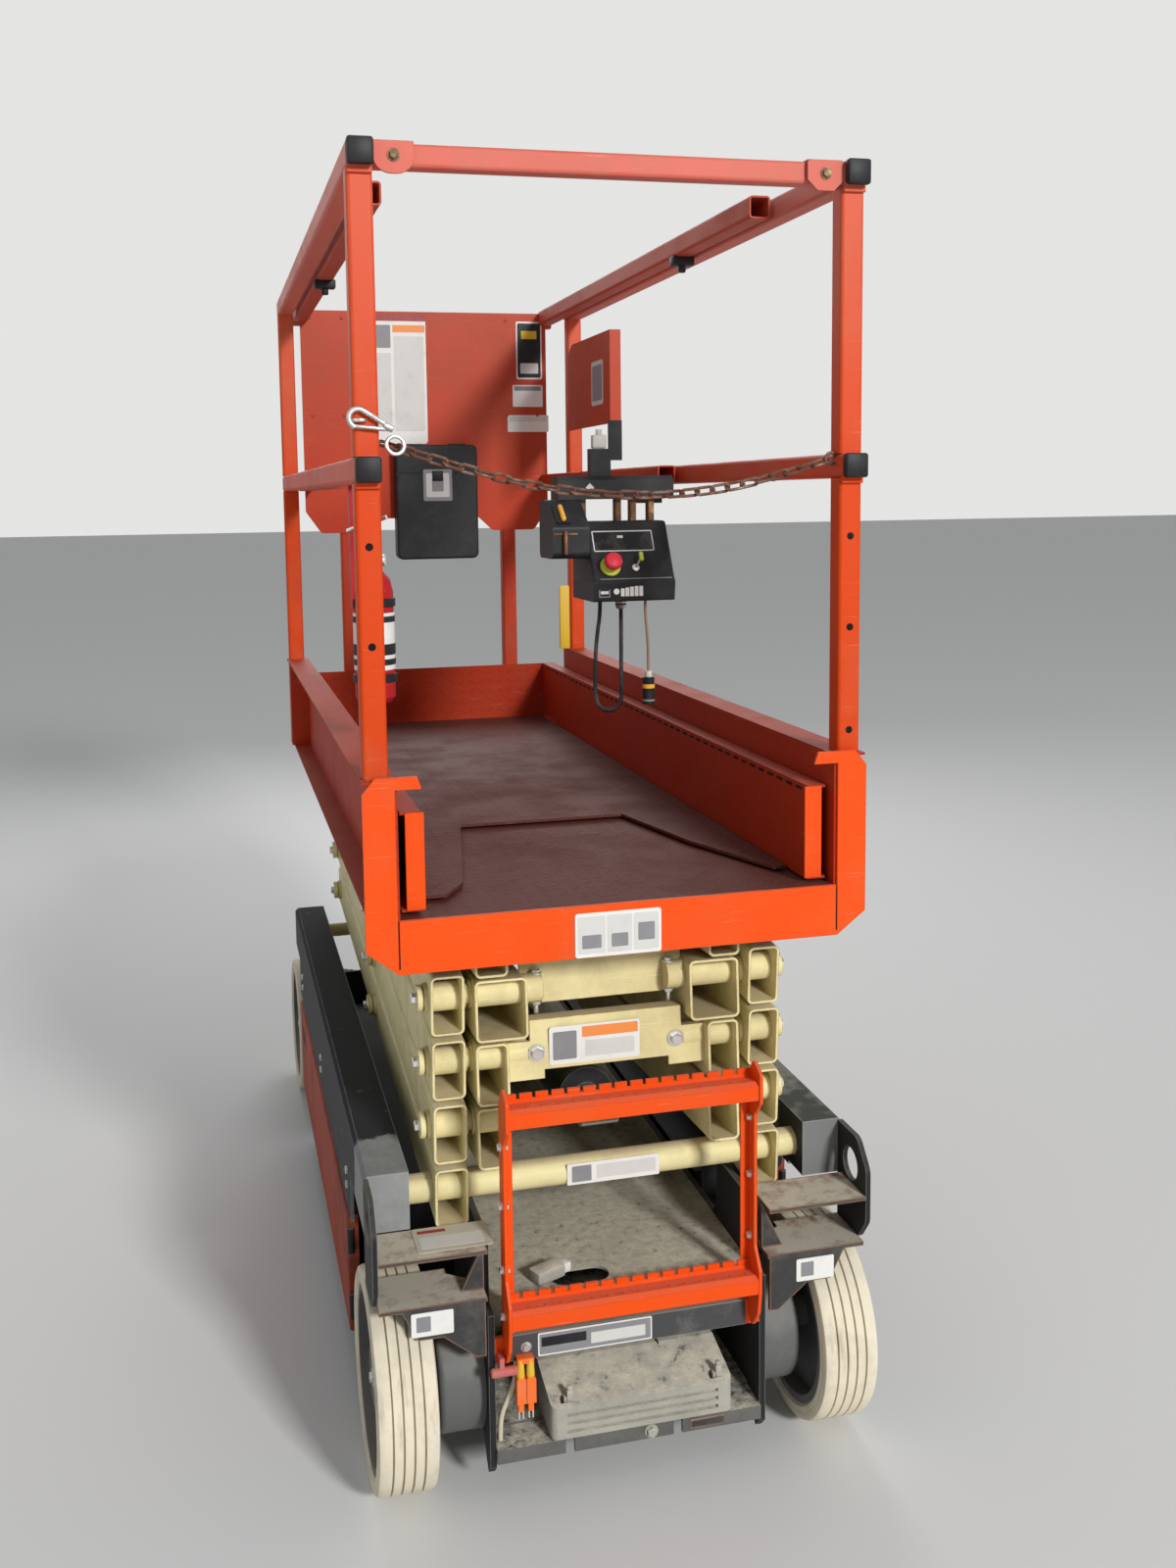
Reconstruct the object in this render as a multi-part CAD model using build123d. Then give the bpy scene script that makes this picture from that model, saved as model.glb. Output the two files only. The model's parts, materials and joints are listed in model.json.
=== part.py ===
from build123d import *
from math import asin, atan2, cos, degrees, hypot, radians, sin, tan
import os

# Compact electric slab scissor lift, stowed. Millimetres, +Z up, +X right, +Y towards the steered end.
# The origin is on the ground, midway between the axles. The ladder and the driven wheels are at -Y.

# ---- wheels and frame -----------------------------------------------------------------------
wheel_base = 1547.0
wheel_radius = 161.5
tyre_width = 90.0
tyre_height = 26.0            # rubber outside the rim
wheel_x = 343.0               # tyre centre from the machine's middle
drive_wheel_y = -wheel_base / 2
steer_wheel_y = wheel_base / 2
ground_clearance = 90.0

chassis_half_width = 386.0
beam_inner_x = 317.0          # open side of the channel beams
beam_top_z = 495.0
beam_bottom_z = 405.0
beam_wall = 5.0
beam_skirt_z = 322.0          # lower edge of the beams' outer skirt
beam_near_y = drive_wheel_y - 26.5
beam_far_y = steer_wheel_y - 108.5
frame_plate_x = 218.0         # outer face of the inner frame plates
frame_plate_wall = 10.0
frame_near_y = drive_wheel_y - 114.5
frame_far_y = steer_wheel_y - 213.5
cover_z = 300.0               # top of the frame plates and of the cover between them
strip_z = (225.0, 264.0)      # cross strip below the ladder's lower tread
shelf_near_y = frame_near_y - 14
shelf_far_y = beam_near_y - 15
shelf_wall = 6.0
tie_down_radius = 26.0
tie_down_wall = 8.0
ladder_half_width = 190.0
tread_z = (332.0, 636.0)      # tops of the two treads

tray_near_y = drive_wheel_y + 213.5
tray_far_y = steer_wheel_y - 273.5
tray_z = (112.0, 316.0)
tray_wall = 6.0

# ---- scissor stack --------------------------------------------------------------------------
pivot_y = drive_wheel_y + 18.5  # the near pins of every level stay in this plane
pivot_z = 445.0
level_pitch = 100.0           # height between pins when stowed
arm_length = 1380.0           # pin to pin
arm_height = 94.0
arm_wall = 4.0
arm_end = 40.0                # tube beyond the end pin
arm_corner = 9.0
outer_arm_x = (226.0, 277.0)
inner_arm_outer_x = 210.0
inner_arm_drop = 20.0         # tube centre below the pin line
hub_radius = 22.0
pin_radius = 15.7
pin_clearance = 0.3
roller_clearance = 3.0
lift_range = 66.0             # degrees that the lowest arm turns from stowed to raised
chassis_roller_radius = pivot_z - beam_bottom_z - beam_wall - roller_clearance
deck_roller_radius = 24.0

# ---- platform -------------------------------------------------------------------------------
deck_top_z = 905.0
deck_thickness = 4.0
platform_near_y = frame_near_y + 8
platform_far_y = steer_wheel_y - 13.5
platform_half_width = 380.0
web_x = 334.0                 # outer face of the toe-board webs
sheet = 4.0                   # folded sheet of toe boards and panels
toe_board_top_z = deck_top_z + 200
fascia_bottom_z = deck_top_z - 78
mid_rail_top_z = deck_top_z + 648
top_rail_top_z = deck_top_z + 1067
rail_tube = 36.0
rail_wall = 3.0
rail_corner = 6.0
post_y = platform_near_y + 28  # centre of the near posts
far_post_y = platform_far_y - 25

extension_gap = 5.0           # between the fixed platform and the sliding deck
extension_near_y = platform_near_y + 20
extension_far_y = platform_far_y + 90
extension_toe_top_z = deck_top_z + 150
extension_flange = 30.0
extension_top_rail_near_y = extension_near_y + 240
extension_mid_rail_near_y = extension_near_y + 720
extension_post_x = 192.0      # inner face of the far posts
panel_bottom_z = deck_top_z + 505

# ---- what follows from them -----------------------------------------------------------------
stow_angle = degrees(asin(level_pitch / arm_length))
reach = arm_length * cos(radians(stow_angle))
raised_far_pin_y = pivot_y + arm_length * cos(radians(stow_angle + lift_range))
top_pin_z = pivot_z + 4 * level_pitch
rail_x = (platform_half_width - rail_tube - 4, platform_half_width - 4)
extension_half = web_x - sheet - extension_gap
extension_deck_z = deck_top_z + extension_gap
extension_web_x = extension_half - extension_flange
extension_rail_x = (rail_x[0] - rail_tube - 8, rail_x[0] - 8)


# ---- small helpers --------------------------------------------------------------------------
def block(x, y, z):
    """A box from three (low, high) pairs."""
    size = [high - low for low, high in (x, y, z)]
    centre = [(high + low) / 2 for low, high in (x, y, z)]
    return Pos(*centre) * Box(*size)


def rod_x(radius, x, y, z):
    """A cylinder along X between the two values in x."""
    return Pos((x[0] + x[1]) / 2, y, z) * Rot(0, 90, 0) * Cylinder(radius, x[1] - x[0])


def rod_y(radius, x, y, z):
    return Pos(x, (y[0] + y[1]) / 2, z) * Rot(90, 0, 0) * Cylinder(radius, y[1] - y[0])


def rod_z(radius, x, y, z):
    return Pos(x, y, (z[0] + z[1]) / 2) * Cylinder(radius, z[1] - z[0])


def both_sides(shape):
    """The shape and its mirror image across the YZ plane."""
    return shape + mirror(shape, Plane.YZ)


def outline_face(points, corner):
    face = make_face(Polyline(*points, close=True))
    return fillet(face.vertices(), corner) if corner else face


def plate_x(points, x, corner=0):
    """A flat plate with a YZ outline, its corners rounded if a radius is given, between two values of x."""
    plane = Plane(origin=(x[0], 0, 0), x_dir=(0, 1, 0), z_dir=(1, 0, 0))
    return extrude(plane * outline_face(points, corner), x[1] - x[0])


def plate_y(points, y, corner=0):
    """A flat plate with an XZ outline."""
    plane = Plane(origin=(0, y[1], 0), x_dir=(1, 0, 0), z_dir=(0, -1, 0))
    return extrude(plane * outline_face(points, corner), y[1] - y[0])


def plate_z(points, z, corner=0):
    """A flat plate with an XY outline."""
    return extrude(Pos(0, 0, z[0]) * outline_face(points, corner), z[1] - z[0])


def square_tube(x, y, z, along, wall, corner=rail_corner):
    """A hollow tube with rounded corners from three (low, high) pairs, open at both ends along one axis."""
    planes = {"x": ((0, 1, 0), (1, 0, 0)), "y": ((-1, 0, 0), (0, 1, 0)), "z": ((1, 0, 0), (0, 0, 1))}
    spans = {"x": x, "y": y, "z": z}
    low, high = spans.pop(along)
    wide, tall = [top - bottom for bottom, top in spans.values()]
    place = [(bottom + top) / 2 for bottom, top in (x, y, z)]
    place["xyz".index(along)] = low
    across, normal = planes[along]
    ring = RectangleRounded(wide, tall, corner)
    ring -= RectangleRounded(wide - 2 * wall, tall - 2 * wall, max(corner - wall, 1))
    return extrude(Plane(origin=place, x_dir=across, z_dir=normal) * ring, high - low)


nodes = {}


def keep(name, shape):
    nodes[name] = shape


# ---- scissor arms ---------------------------------------------------------------------------
# Level i has outer arms from near pin i-1 up to far pin i, and inner arms from far pin i-1
# up to near pin i. Local Y runs along the pin line, with its zero at the centre pin.
pin_places = (-arm_length / 2, 0.0, arm_length / 2)
pin_outer_x = 288.0
pin_cap = (285.0, 293.0)
track_x = (299.0, 330.0)      # channel under the deck
track_wall = 4.0
deck_roller_x = (304.0, 322.0)


def level_centre_z(level):
    return pivot_z + (level - 0.5) * level_pitch


def place_arm(shape, level, slope):
    centre = Pos(0, pivot_y + reach / 2, level_centre_z(level))
    return centre * Rot(slope * stow_angle, 0, 0) * shape


def arm_tube(x, drop, far_end):
    z = (-arm_height / 2 - drop, arm_height / 2 - drop)
    y = (-arm_length / 2 - arm_end, arm_length / 2 + far_end)
    return square_tube(x, y, z, "y", arm_wall, arm_corner)


def outer_arm(level):
    near, middle, far = pin_places
    x = outer_arm_x
    far_end = arm_height / 2 - 14 if level == 4 else arm_end
    arm = arm_tube(x, 0, far_end)
    for y in pin_places:
        arm += rod_x(hub_radius, (x[0] - 6, x[1] + 6), y, 0)
    for y in pin_places:
        pivots_on_chassis = level == 1 and y == near
        slides_on_platform = level == 4 and y == far
        if not pivots_on_chassis and not slides_on_platform:
            arm -= rod_x(pin_radius + pin_clearance, (x[0] - 10, x[1] + 10), y, 0)
    if level == 4:
        arm += rod_x(pin_radius, (x[0], deck_roller_x[0]), far, 0)
        arm += rod_x(deck_roller_radius, deck_roller_x, far, 0)
        arm -= block((x[0] - 1, x[1] + 1), (far + 12, far + 60), (arm_height / 2 - 22, 60))
    arm = both_sides(arm)
    if level == 1:
        end_x = beam_inner_x + 28
        arm += rod_x(hub_radius, (-end_x, end_x), near, 0)
    return place_arm(arm, level, 1)


# level: inner face of the tubes, inner end of the hubs
inner_arm_table = {1: (159, 125), 2: (159, 125), 3: (129, 100), 4: (159, 125)}
cylinder_pin_radius = 15.0
cylinder_pin_offset = 45.0    # along the arm from its end pin


def inner_arm(level):
    tube_x, hub_x = inner_arm_table[level]
    far_end = 25 if level == 1 else arm_end
    arm = arm_tube((tube_x, inner_arm_outer_x), inner_arm_drop, far_end)
    near, middle, far = pin_places
    for y in pin_places:
        arm += rod_x(hub_radius, (hub_x, inner_arm_outer_x + 4), y, 0)
    capped = [middle]
    if level < 4:
        capped.append(near)
    if level > 1:
        capped.append(far)
    for y in (near, middle, far):
        arm += rod_x(pin_radius, (hub_x, pin_outer_x), y, 0)
    for y in capped:
        arm += rod_x(hub_radius - 2, pin_cap, y, 0)
    if level == 1:
        arm += rod_x(pin_radius, (hub_x, beam_inner_x + 20), far, 0)
        arm += rod_x(chassis_roller_radius, (beam_inner_x + 8, chassis_half_width - 16), far, 0)
    arm = both_sides(arm)
    arm += inner_cross_members(level, tube_x)
    return place_arm(arm, level, -1)


# level: low and high height of the near channel from the pin line, near face beyond the pin,
# depth of its flanges
near_channel_table = {1: (-12, 18, 22, 30), 2: (-26, 52, 20, 30),
                      3: (-28, 38, -10, 50), 4: (-48, -8, -10, 50)}
wide_channel_half = 122.0     # level 2's channel stops short of its tubes, and two tabs carry it


def inner_cross_members(level, tube_x):
    near, middle, far = pin_places
    low, high, ahead, depth = near_channel_table[level]
    half = wide_channel_half if level == 2 else tube_x + 2
    wall = 6
    front = near - ahead
    members = block((-half, half), (front, front + depth), (low, high))
    members -= block((-half, half), (front + wall, front + depth), (low + wall, high - wall))
    tie_y = near + cylinder_pin_offset if level == 1 else far - cylinder_pin_offset
    members += rod_x(cylinder_pin_radius, (-tube_x - 2, tube_x + 2), tie_y, -inner_arm_drop)
    if level == 2:
        members += both_sides(block((100, tube_x + 2), (front, front + wall), (-40, 20)))
    return members


# ---- lift cylinder, between lugs on the chassis and the lowest inner arms' near end -----------
barrel_radius = 42.0
barrel_bore = 36.0
barrel_head = 62.0            # from the rod's eye to the barrel's mouth, closed
cylinder_rod_radius = 22.0
cylinder_eye_radius = 28.0
cylinder_eye_width = 60.0
base_pin = (pivot_y + 1255, cover_z + 62)  # Y and Z of the lugs' pin
saddle_rim = 6.0              # the rod's saddle stops this far below the pin's centre


def inner_arm_point(level, y, z):
    """Where a point given along and above an inner arm's pin line lies, as (Y, Z)."""
    angle = -radians(stow_angle)
    centre_y, centre_z = pivot_y + reach / 2, level_centre_z(level)
    return centre_y + y * cos(angle) - z * sin(angle), centre_z + y * sin(angle) + z * cos(angle)


rod_pin = inner_arm_point(1, -arm_length / 2 + cylinder_pin_offset, -inner_arm_drop)
closed_length = hypot(rod_pin[0] - base_pin[0], rod_pin[1] - base_pin[1])
cylinder_slope = degrees(atan2(rod_pin[1] - base_pin[1], base_pin[0] - rod_pin[0]))


def place_cylinder(shape):
    """Local -Y runs from the base pin towards the rod's end."""
    return Pos(0, *base_pin) * Rot(-cylinder_slope, 0, 0) * shape


def cylinder_eye(y):
    half = cylinder_eye_width / 2
    return rod_x(cylinder_eye_radius, (-half, half), y, 0)


def eye_bore(y):
    half = cylinder_eye_width / 2 + 10
    return rod_x(cylinder_pin_radius + pin_clearance, (-half, half), y, 0)


def lift_barrel():
    head = -(closed_length - barrel_head)
    barrel = rod_y(barrel_radius, 0, (head, -44), 0)
    barrel += rod_y(barrel_radius + 5, 0, (head, head + 26), 0)
    barrel += cylinder_eye(0) + block((-24, 24), (-50, 0), (-24, 24))
    barrel -= rod_y(barrel_bore, 0, (head + 22, -62), 0)
    barrel -= rod_y(cylinder_rod_radius + pin_clearance, 0, (head - 1, head + 23), 0)
    barrel -= eye_bore(0)
    return place_cylinder(barrel)


def lift_rod():
    """The rod with its piston, and an open saddle under the arms' pin."""
    end = -closed_length
    rod = rod_y(cylinder_rod_radius, 0, (end, -68), 0)
    rod += rod_y(barrel_bore - pin_clearance, 0, (-90, -68), 0)
    rod += cylinder_eye(end)
    rod -= eye_bore(end)
    rod -= block((-40, 40), (end - 40, end + 40), (-saddle_rim, 40))
    return place_cylinder(rod)


def cylinder_lugs():
    y, z = base_pin
    lug = plate_x([(y - 40, cover_z), (y + 40, cover_z), (y + 22, z + 22), (y - 22, z + 22)], (33, 45))
    lug += rod_x(11, (45, 50), y, z)
    return both_sides(lug) + rod_x(cylinder_pin_radius, (-46, 46), y, z)


# ---- chassis --------------------------------------------------------------------------------
hanger_wall = 8.0
near_hanger_y = tray_near_y - 44
far_hanger_y = frame_far_y - 12


def side_beams():
    """Two channels, open inwards, closed at the near end where the lowest tube turns in them."""
    y = (beam_near_y, beam_far_y)
    beam = block((beam_inner_x, chassis_half_width), y, (beam_bottom_z, beam_top_z))
    top_edge = beam.edges().filter_by(Axis.Y).group_by(Axis.Z)[-1].sort_by(Axis.X)[-1]
    beam = chamfer(top_edge, beam_wall + 2)
    pocket_y = (beam_near_y + 100, beam_far_y - beam_wall)
    pocket_z = (beam_bottom_z + beam_wall, beam_top_z - beam_wall)
    beam -= block((beam_inner_x - 1, chassis_half_width - beam_wall), pocket_y, pocket_z)
    beam -= rod_x(hub_radius + pin_clearance, (beam_inner_x - 1, beam_inner_x + 30), pivot_y, pivot_z)
    skirt_x = (chassis_half_width - beam_wall, chassis_half_width)
    skirt = block(skirt_x, (near_hanger_y + hanger_wall, far_hanger_y), (beam_skirt_z, beam_bottom_z))
    return both_sides(beam + skirt)


def tie_down_plates():
    """Rounded plates at the near corners, each with the hole that a shackle goes through."""
    low, high, front = beam_skirt_z + 7, beam_top_z - 3, shelf_near_y
    outline = [(beam_near_y, low), (front + 30, low), (front, low + 40), (front, high - 40),
               (front + 34, high), (beam_near_y, high)]
    face = make_face(Polyline(*outline, close=True))
    face = fillet(face.vertices().sort_by(Axis.X)[:4], 24)
    x = (chassis_half_width - tie_down_wall, chassis_half_width)
    plane = Plane(origin=(x[0], 0, 0), x_dir=(0, 1, 0), z_dir=(1, 0, 0))
    plate = extrude(plane * face, tie_down_wall)
    plate -= rod_x(tie_down_radius, (x[0] - 1, x[1] + 1), beam_near_y - 46, pivot_z - 5)
    return both_sides(plate)


def pocket_shelves():
    """Upper and lower shelves of the tie-down pockets, with an apron and a gusset."""
    x = (frame_plate_x + 1, chassis_half_width - tie_down_wall)
    low = beam_skirt_z + 7
    upper_z = (beam_bottom_z, beam_bottom_z + shelf_wall)
    upper = block(x, (shelf_near_y, shelf_far_y), upper_z)
    front = shelf_near_y + 6
    slant = shelf_far_y - 35
    lower = plate_z([(x[0], front), (x[1], front), (x[1], beam_near_y), (x[0] + 48, beam_near_y),
                     (x[0] + 48, shelf_far_y), (x[0], slant)], (low, low + shelf_wall))
    apron = [(222, low), (345, low), (322, low - 45), (285, low - 45), (236, low - 84), (222, low - 84)]
    lower += plate_y(apron, (front, front + 7))
    gusset = [(x[0], low + shelf_wall), (x[0] + 34, low + shelf_wall), (x[0], upper_z[0])]
    lower += plate_y(gusset, (slant - 20, slant - 14))
    return both_sides(upper) + both_sides(lower)


def frame_plates():
    near, low = frame_near_y, ground_clearance
    outline = [(near, cover_z), (near, 62), (near + 16, 45), (near + 30, 58), (near + 53, low),
               (frame_far_y, low), (frame_far_y, cover_z), (near + 208, cover_z), (near + 188, cover_z + 30),
               (near + 188, beam_bottom_z), (near + 38, beam_bottom_z), (near + 38, cover_z)]
    return both_sides(plate_x(outline, (frame_plate_x - frame_plate_wall, frame_plate_x)))


pan_half = frame_plate_x - frame_plate_wall


def floor_pan():
    """The pan under the charger and its folded near bar, cut by two notches."""
    near = frame_near_y + 48
    pan = block((-pan_half, pan_half), (near, frame_far_y), (ground_clearance, ground_clearance + 6))
    bar = block((-pan_half, pan_half), (near - 55, near), (70, 92))
    bar -= block((-pan_half, pan_half), (near - 49, near - 1), (69, 86))
    for x in (-97, 73):
        bar -= block((x - 7, x + 7), (near - 60, near - 32), (60, 93))
    return pan + bar


def centre_cover():
    """The cover between the frame plates, with a hand hole behind the ladder and the cylinder's lugs."""
    near = frame_near_y + 38
    cover = block((-pan_half, pan_half), (near, frame_far_y), (cover_z - 4, cover_z))
    cover += block((-pan_half, pan_half), (near - 4, near), (cover_z - 38, cover_z))
    cover -= extrude(Pos(-58, near + 36, cover_z - 5) * SlotOverall(92, 44), 6)
    return cover + cylinder_lugs()


def beam_hangers():
    """Legs that carry the channel beams from the frame plates."""
    outer, top, inner = chassis_half_width - 20, beam_bottom_z, frame_plate_x
    outline = [(inner, 200), (inner + 52, 200), (outer, 330), (outer, top), (beam_inner_x, top), (290, 360),
               (inner, 360)]
    legs = plate_y(outline, (near_hanger_y, near_hanger_y + hanger_wall))
    legs += plate_y(outline, (far_hanger_y, far_hanger_y + hanger_wall))
    return both_sides(legs)


# ---- ladder, whose treads are folded sheet with punched teeth ---------------------------------
tread_sheet = 4.0
tooth_pitch = 24.0
tooth_gap = (5.0, 8.0)        # width and depth of the cuts between teeth
grip_slot = (12.0, 4.0)       # raised slots along the fold


def tread(top):
    """Front lip, a fold, a slope up to the rear and a serrated rear lip, all one folded sheet."""
    half, near = ladder_half_width, frame_near_y
    front, rear = near - 42, near - 4
    upper = [(front, top - 36), (front, top - 14), (front + 8, top - 9), (rear - 4, top - 12),
             (rear, top - 8), (rear, top)]
    lower = [(rear + tread_sheet, top), (rear + tread_sheet, top - 14), (rear - 3, top - 17),
             (front + 9, top - 14), (front + tread_sheet, top - 17), (front + tread_sheet, top - 36)]
    shape = plate_x(upper + lower, (-half, half))
    width, depth = tooth_gap
    count = int(2 * half / tooth_pitch)
    cut = block((-width / 2, width / 2), (rear - 1, rear + tread_sheet + 1), (top - depth, top + 1))
    slot_long, slot_wide = grip_slot
    grip = block((-slot_long / 2, slot_long / 2), (front + 14, front + 14 + slot_wide), (top - 20, top))
    for i in range(count):
        x = (i - (count - 1) / 2) * tooth_pitch
        shape -= Pos(x, 0, 0) * cut
        shape -= Pos(x, 0, 0) * grip
    return shape


def ladder():
    """Two wavy side plates, wide at the treads and narrow between, and the treads that join them."""
    half, near = ladder_half_width, frame_near_y
    back = near + 8
    low, high = tread_z
    outline = [(back, low - 82), (near - 12, low - 104), (near - 37, low - 70), (near - 43, low - 34),
               (near - 43, low), (near - 22, low + 30), (near - 22, high - 66), (near - 45, high - 40),
               (near - 45, high + 4), (near - 17, high + 18), (back, high - 16)]
    side = plate_x(outline, (half, half + 5), corner=7)
    strip = block((-pan_half, pan_half), (near + 1, near + 8), strip_z)
    return tread(low) + tread(high) + both_sides(side) + strip


# ---- charger, its plugs and the lowering handle -----------------------------------------------
charger_x = (-126.0, 160.0)
charger_near_y = frame_near_y - 12
charger_z = (96.0, 146.0)     # foot, on the pan, and front top edge
charger_rise = 22.0           # the lid rises this much towards the back
fin_pitch = 13.0
fin_groove = (6.0, 7.0)       # height and depth between fins


def charger_box():
    """A cast case: sloping lid, rounded ends, cooling fins across its front and a notch at each corner."""
    low, high = charger_z
    left, right = charger_x
    near = charger_near_y
    profile = [(near, low), (near, high), (near + 92, high + charger_rise), (near + 140, high + charger_rise),
               (near + 140, low)]
    case = plate_x(profile, charger_x)
    case = fillet(case.edges().filter_by(Axis.Z).group_by(Axis.Y)[0], 12)
    height, depth = fin_groove
    for i in range(3):
        z = low + 8 + i * fin_pitch
        case -= block((left + 24, right - 24), (near - 1, near + depth), (z, z + height))
    for x in (left + 16, right - 34):
        case -= block((x, x + 18), (near + 8, near + 24), (high - 14, high + 20))
        case += block((x + 6, x + 12), (near + 12, near + 20), (high - 14, high + 8))
    lift = (high + 14, high + charger_rise + 5)
    return case + block((right - 92, right - 64), (near + 84, near + 100), lift)


def charge_plugs():
    """Two plugs that hang side by side from a clip on the strip."""
    y = frame_near_y - 8
    top = strip_z[0]
    plugs = Part()
    for x in (-172, -157):
        plugs += rod_z(5, x, y, (top - 20, top + 7))
        body = block((x - 7, x + 7), (y - 8, y + 8), (top - 60, top - 20))
        plugs += chamfer(body.edges().group_by(Axis.Z)[-1], 3)
        plugs += block((x - 4, x + 4), (y - 3, y + 3), (top - 75, top - 60))
    return plugs + block((-177, -152), (y - 5, frame_near_y + 1), (top + 1, top + 9))


def lowering_handle():
    """A T grip on a stem that runs back under the ladder's foot."""
    y, z = frame_near_y - 17, strip_z[0] - 3
    grip = fillet(rod_x(7, (-218, -178), y, z).edges(), 3)
    stem = block((-205, -198), (y - 3, frame_near_y - 9), (z - 2, z + 22))
    return grip + stem + block((-205, -198), (frame_near_y - 9, frame_near_y + 1), (z + 14, z + 22))


def drive_motors():
    """A gearmotor cover on each frame plate, with the shaft that its wheel sits on."""
    cover = rod_x(92, (frame_plate_x, 288), drive_wheel_y, wheel_radius)
    cover = fillet(cover.edges().filter_by(GeomType.CIRCLE).sort_by(Axis.X)[-1], 10)
    cover += rod_x(24, (286, wheel_x - 14.5), drive_wheel_y, wheel_radius)
    return both_sides(cover)


steer_pin_x = 262.0
steer_neck = 100.0            # half width of the frame between the steered wheels
king_pin_radius = 12.0
tie_rod_z = 110.0
tie_rod_radius = 8.0
tie_rod_offset = 78.0         # behind the king pins
wheel_disc = 14.5             # half thickness of a rim's disc


def steer_axle():
    """The narrow frame between the steered wheels, the axle beam through it and its king pins."""
    far = steer_wheel_y + 131.5
    profile = [(frame_far_y, ground_clearance), (far, ground_clearance), (far, cover_z - 70),
               (far - 80, cover_z), (frame_far_y, cover_z)]
    neck = plate_x(profile, (-steer_neck, steer_neck))
    slot_y = (steer_wheel_y - tie_rod_offset - 18, steer_wheel_y - 8)
    neck -= block((-steer_neck - 1, steer_neck + 1), slot_y, (ground_clearance - 1, tie_rod_z + 20))
    half, low, high = steer_neck + 20, ground_clearance, cover_z + 40
    bumper = plate_y([(-half, low + 30), (30 - half, low), (half - 30, low), (half, low + 30), (half, high),
                      (-half, high)], (far, far + 8), corner=14)
    for x in (-half + 32, half - 32):
        bumper -= rod_y(16, x, (far - 1, far + 9), high - 36)
    neck += bumper
    beam = block((-steer_pin_x, steer_pin_x), (steer_wheel_y - 28, steer_wheel_y + 28), (188, 228))
    beam += both_sides(rod_z(28, steer_pin_x, steer_wheel_y, (188, 228)))
    pins = both_sides(rod_z(king_pin_radius, steer_pin_x, steer_wheel_y, (128, 290)))
    return neck + beam + pins


def power_packs():
    low, high = tray_z[0] + tray_wall, tray_z[1] - tray_wall
    y = (tray_near_y + 20, tray_far_y - 20)
    pack = block((frame_plate_x + 8, 360), y, (low + 6, high - 8))
    shelf = block((frame_plate_x, 366), (y[0] - 10, y[1] + 10), (low, low + 6))
    return both_sides(pack + shelf)


def tray_door(side):
    """A moulded door, open inwards, with a finger recess for its latch."""
    x = sorted((side * 371, side * (chassis_half_width + 4)))
    door = block(x, (tray_near_y, tray_far_y), tray_z)
    outer_face = door.faces().sort_by(Axis.X)[-1 if side > 0 else 0]
    door = fillet(outer_face.edges(), 4)
    inner = sorted((side * 360, side * (chassis_half_width - 1)))
    inner_y = (tray_near_y + tray_wall, tray_far_y - tray_wall)
    door -= block(inner, inner_y, (tray_z[0] + tray_wall, tray_z[1] - tray_wall))
    latch_y, latch_z = (tray_far_y - 130, tray_far_y - 50), (tray_z[1] - 70, tray_z[1] - 40)
    return door - block(sorted((side * 380, side * 392)), latch_y, latch_z)


# ---- wheels ---------------------------------------------------------------------------------
rim_radius = wheel_radius - tyre_height
rim_wall = 12.0
stud_circle = 68.0
stud_count = 6


def tyre(x, y):
    half = tyre_width / 2
    ring = rod_x(wheel_radius, (x - half, x + half), y, wheel_radius)
    ring = fillet(ring.edges().filter_by(GeomType.CIRCLE), 8)
    return ring - rod_x(rim_radius, (x - half - 1, x + half + 1), y, wheel_radius)


def rim(x, y):
    """A dished disc between two flanges, its hub cap and the studs round it."""
    side = 1 if x > 0 else -1
    half = tyre_width / 2 - 4
    drum = rod_x(rim_radius, (x - half, x + half), y, wheel_radius)
    for face in (1, -1):
        dish = sorted((x + face * wheel_disc, x + face * (half + 1)))
        drum -= rod_x(rim_radius - rim_wall, dish, y, wheel_radius)
    cap = rod_x(48, sorted((x - side * wheel_disc, x + side * 34)), y, wheel_radius)
    drum += fillet(cap.edges().filter_by(GeomType.CIRCLE).sort_by(Axis.X)[-1 if side > 0 else 0], 6)
    for i in range(stud_count):
        turn = radians(360 / stud_count * i)
        stud = sorted((x + side * wheel_disc, x + side * (wheel_disc + 9)))
        drum += rod_x(8, stud, y + stud_circle * cos(turn), wheel_radius + stud_circle * sin(turn))
    return drum


def steer_knuckle(side):
    x, y = side * steer_pin_x, steer_wheel_y
    fork = block(sorted((x - side * 26, x + side * 34)), (y - 26, y + 26), (134, 282))
    fork -= block(sorted((x - side * 30, x + side * 31)), (y - 40, y + 40), (182, 234))
    fork -= rod_z(king_pin_radius + pin_clearance, x, y, (100, 300))
    spindle = rod_x(22, sorted((x + side * 30, side * (wheel_x - wheel_disc))), y, wheel_radius)
    arm = block((x - 14, x + 14), (y - tie_rod_offset - 14, y - 14), (tie_rod_z + 14, 134))
    arm -= rod_z(tie_rod_radius + pin_clearance, x, y - tie_rod_offset, (110, 150))
    return fork + spindle + arm


def tie_rod():
    y = steer_wheel_y - tie_rod_offset
    bar = rod_x(tie_rod_radius, (-steer_pin_x, steer_pin_x), y, tie_rod_z)
    ends = both_sides(rod_z(tie_rod_radius, steer_pin_x, y, (tie_rod_z, 138)))
    return bar + ends


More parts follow.
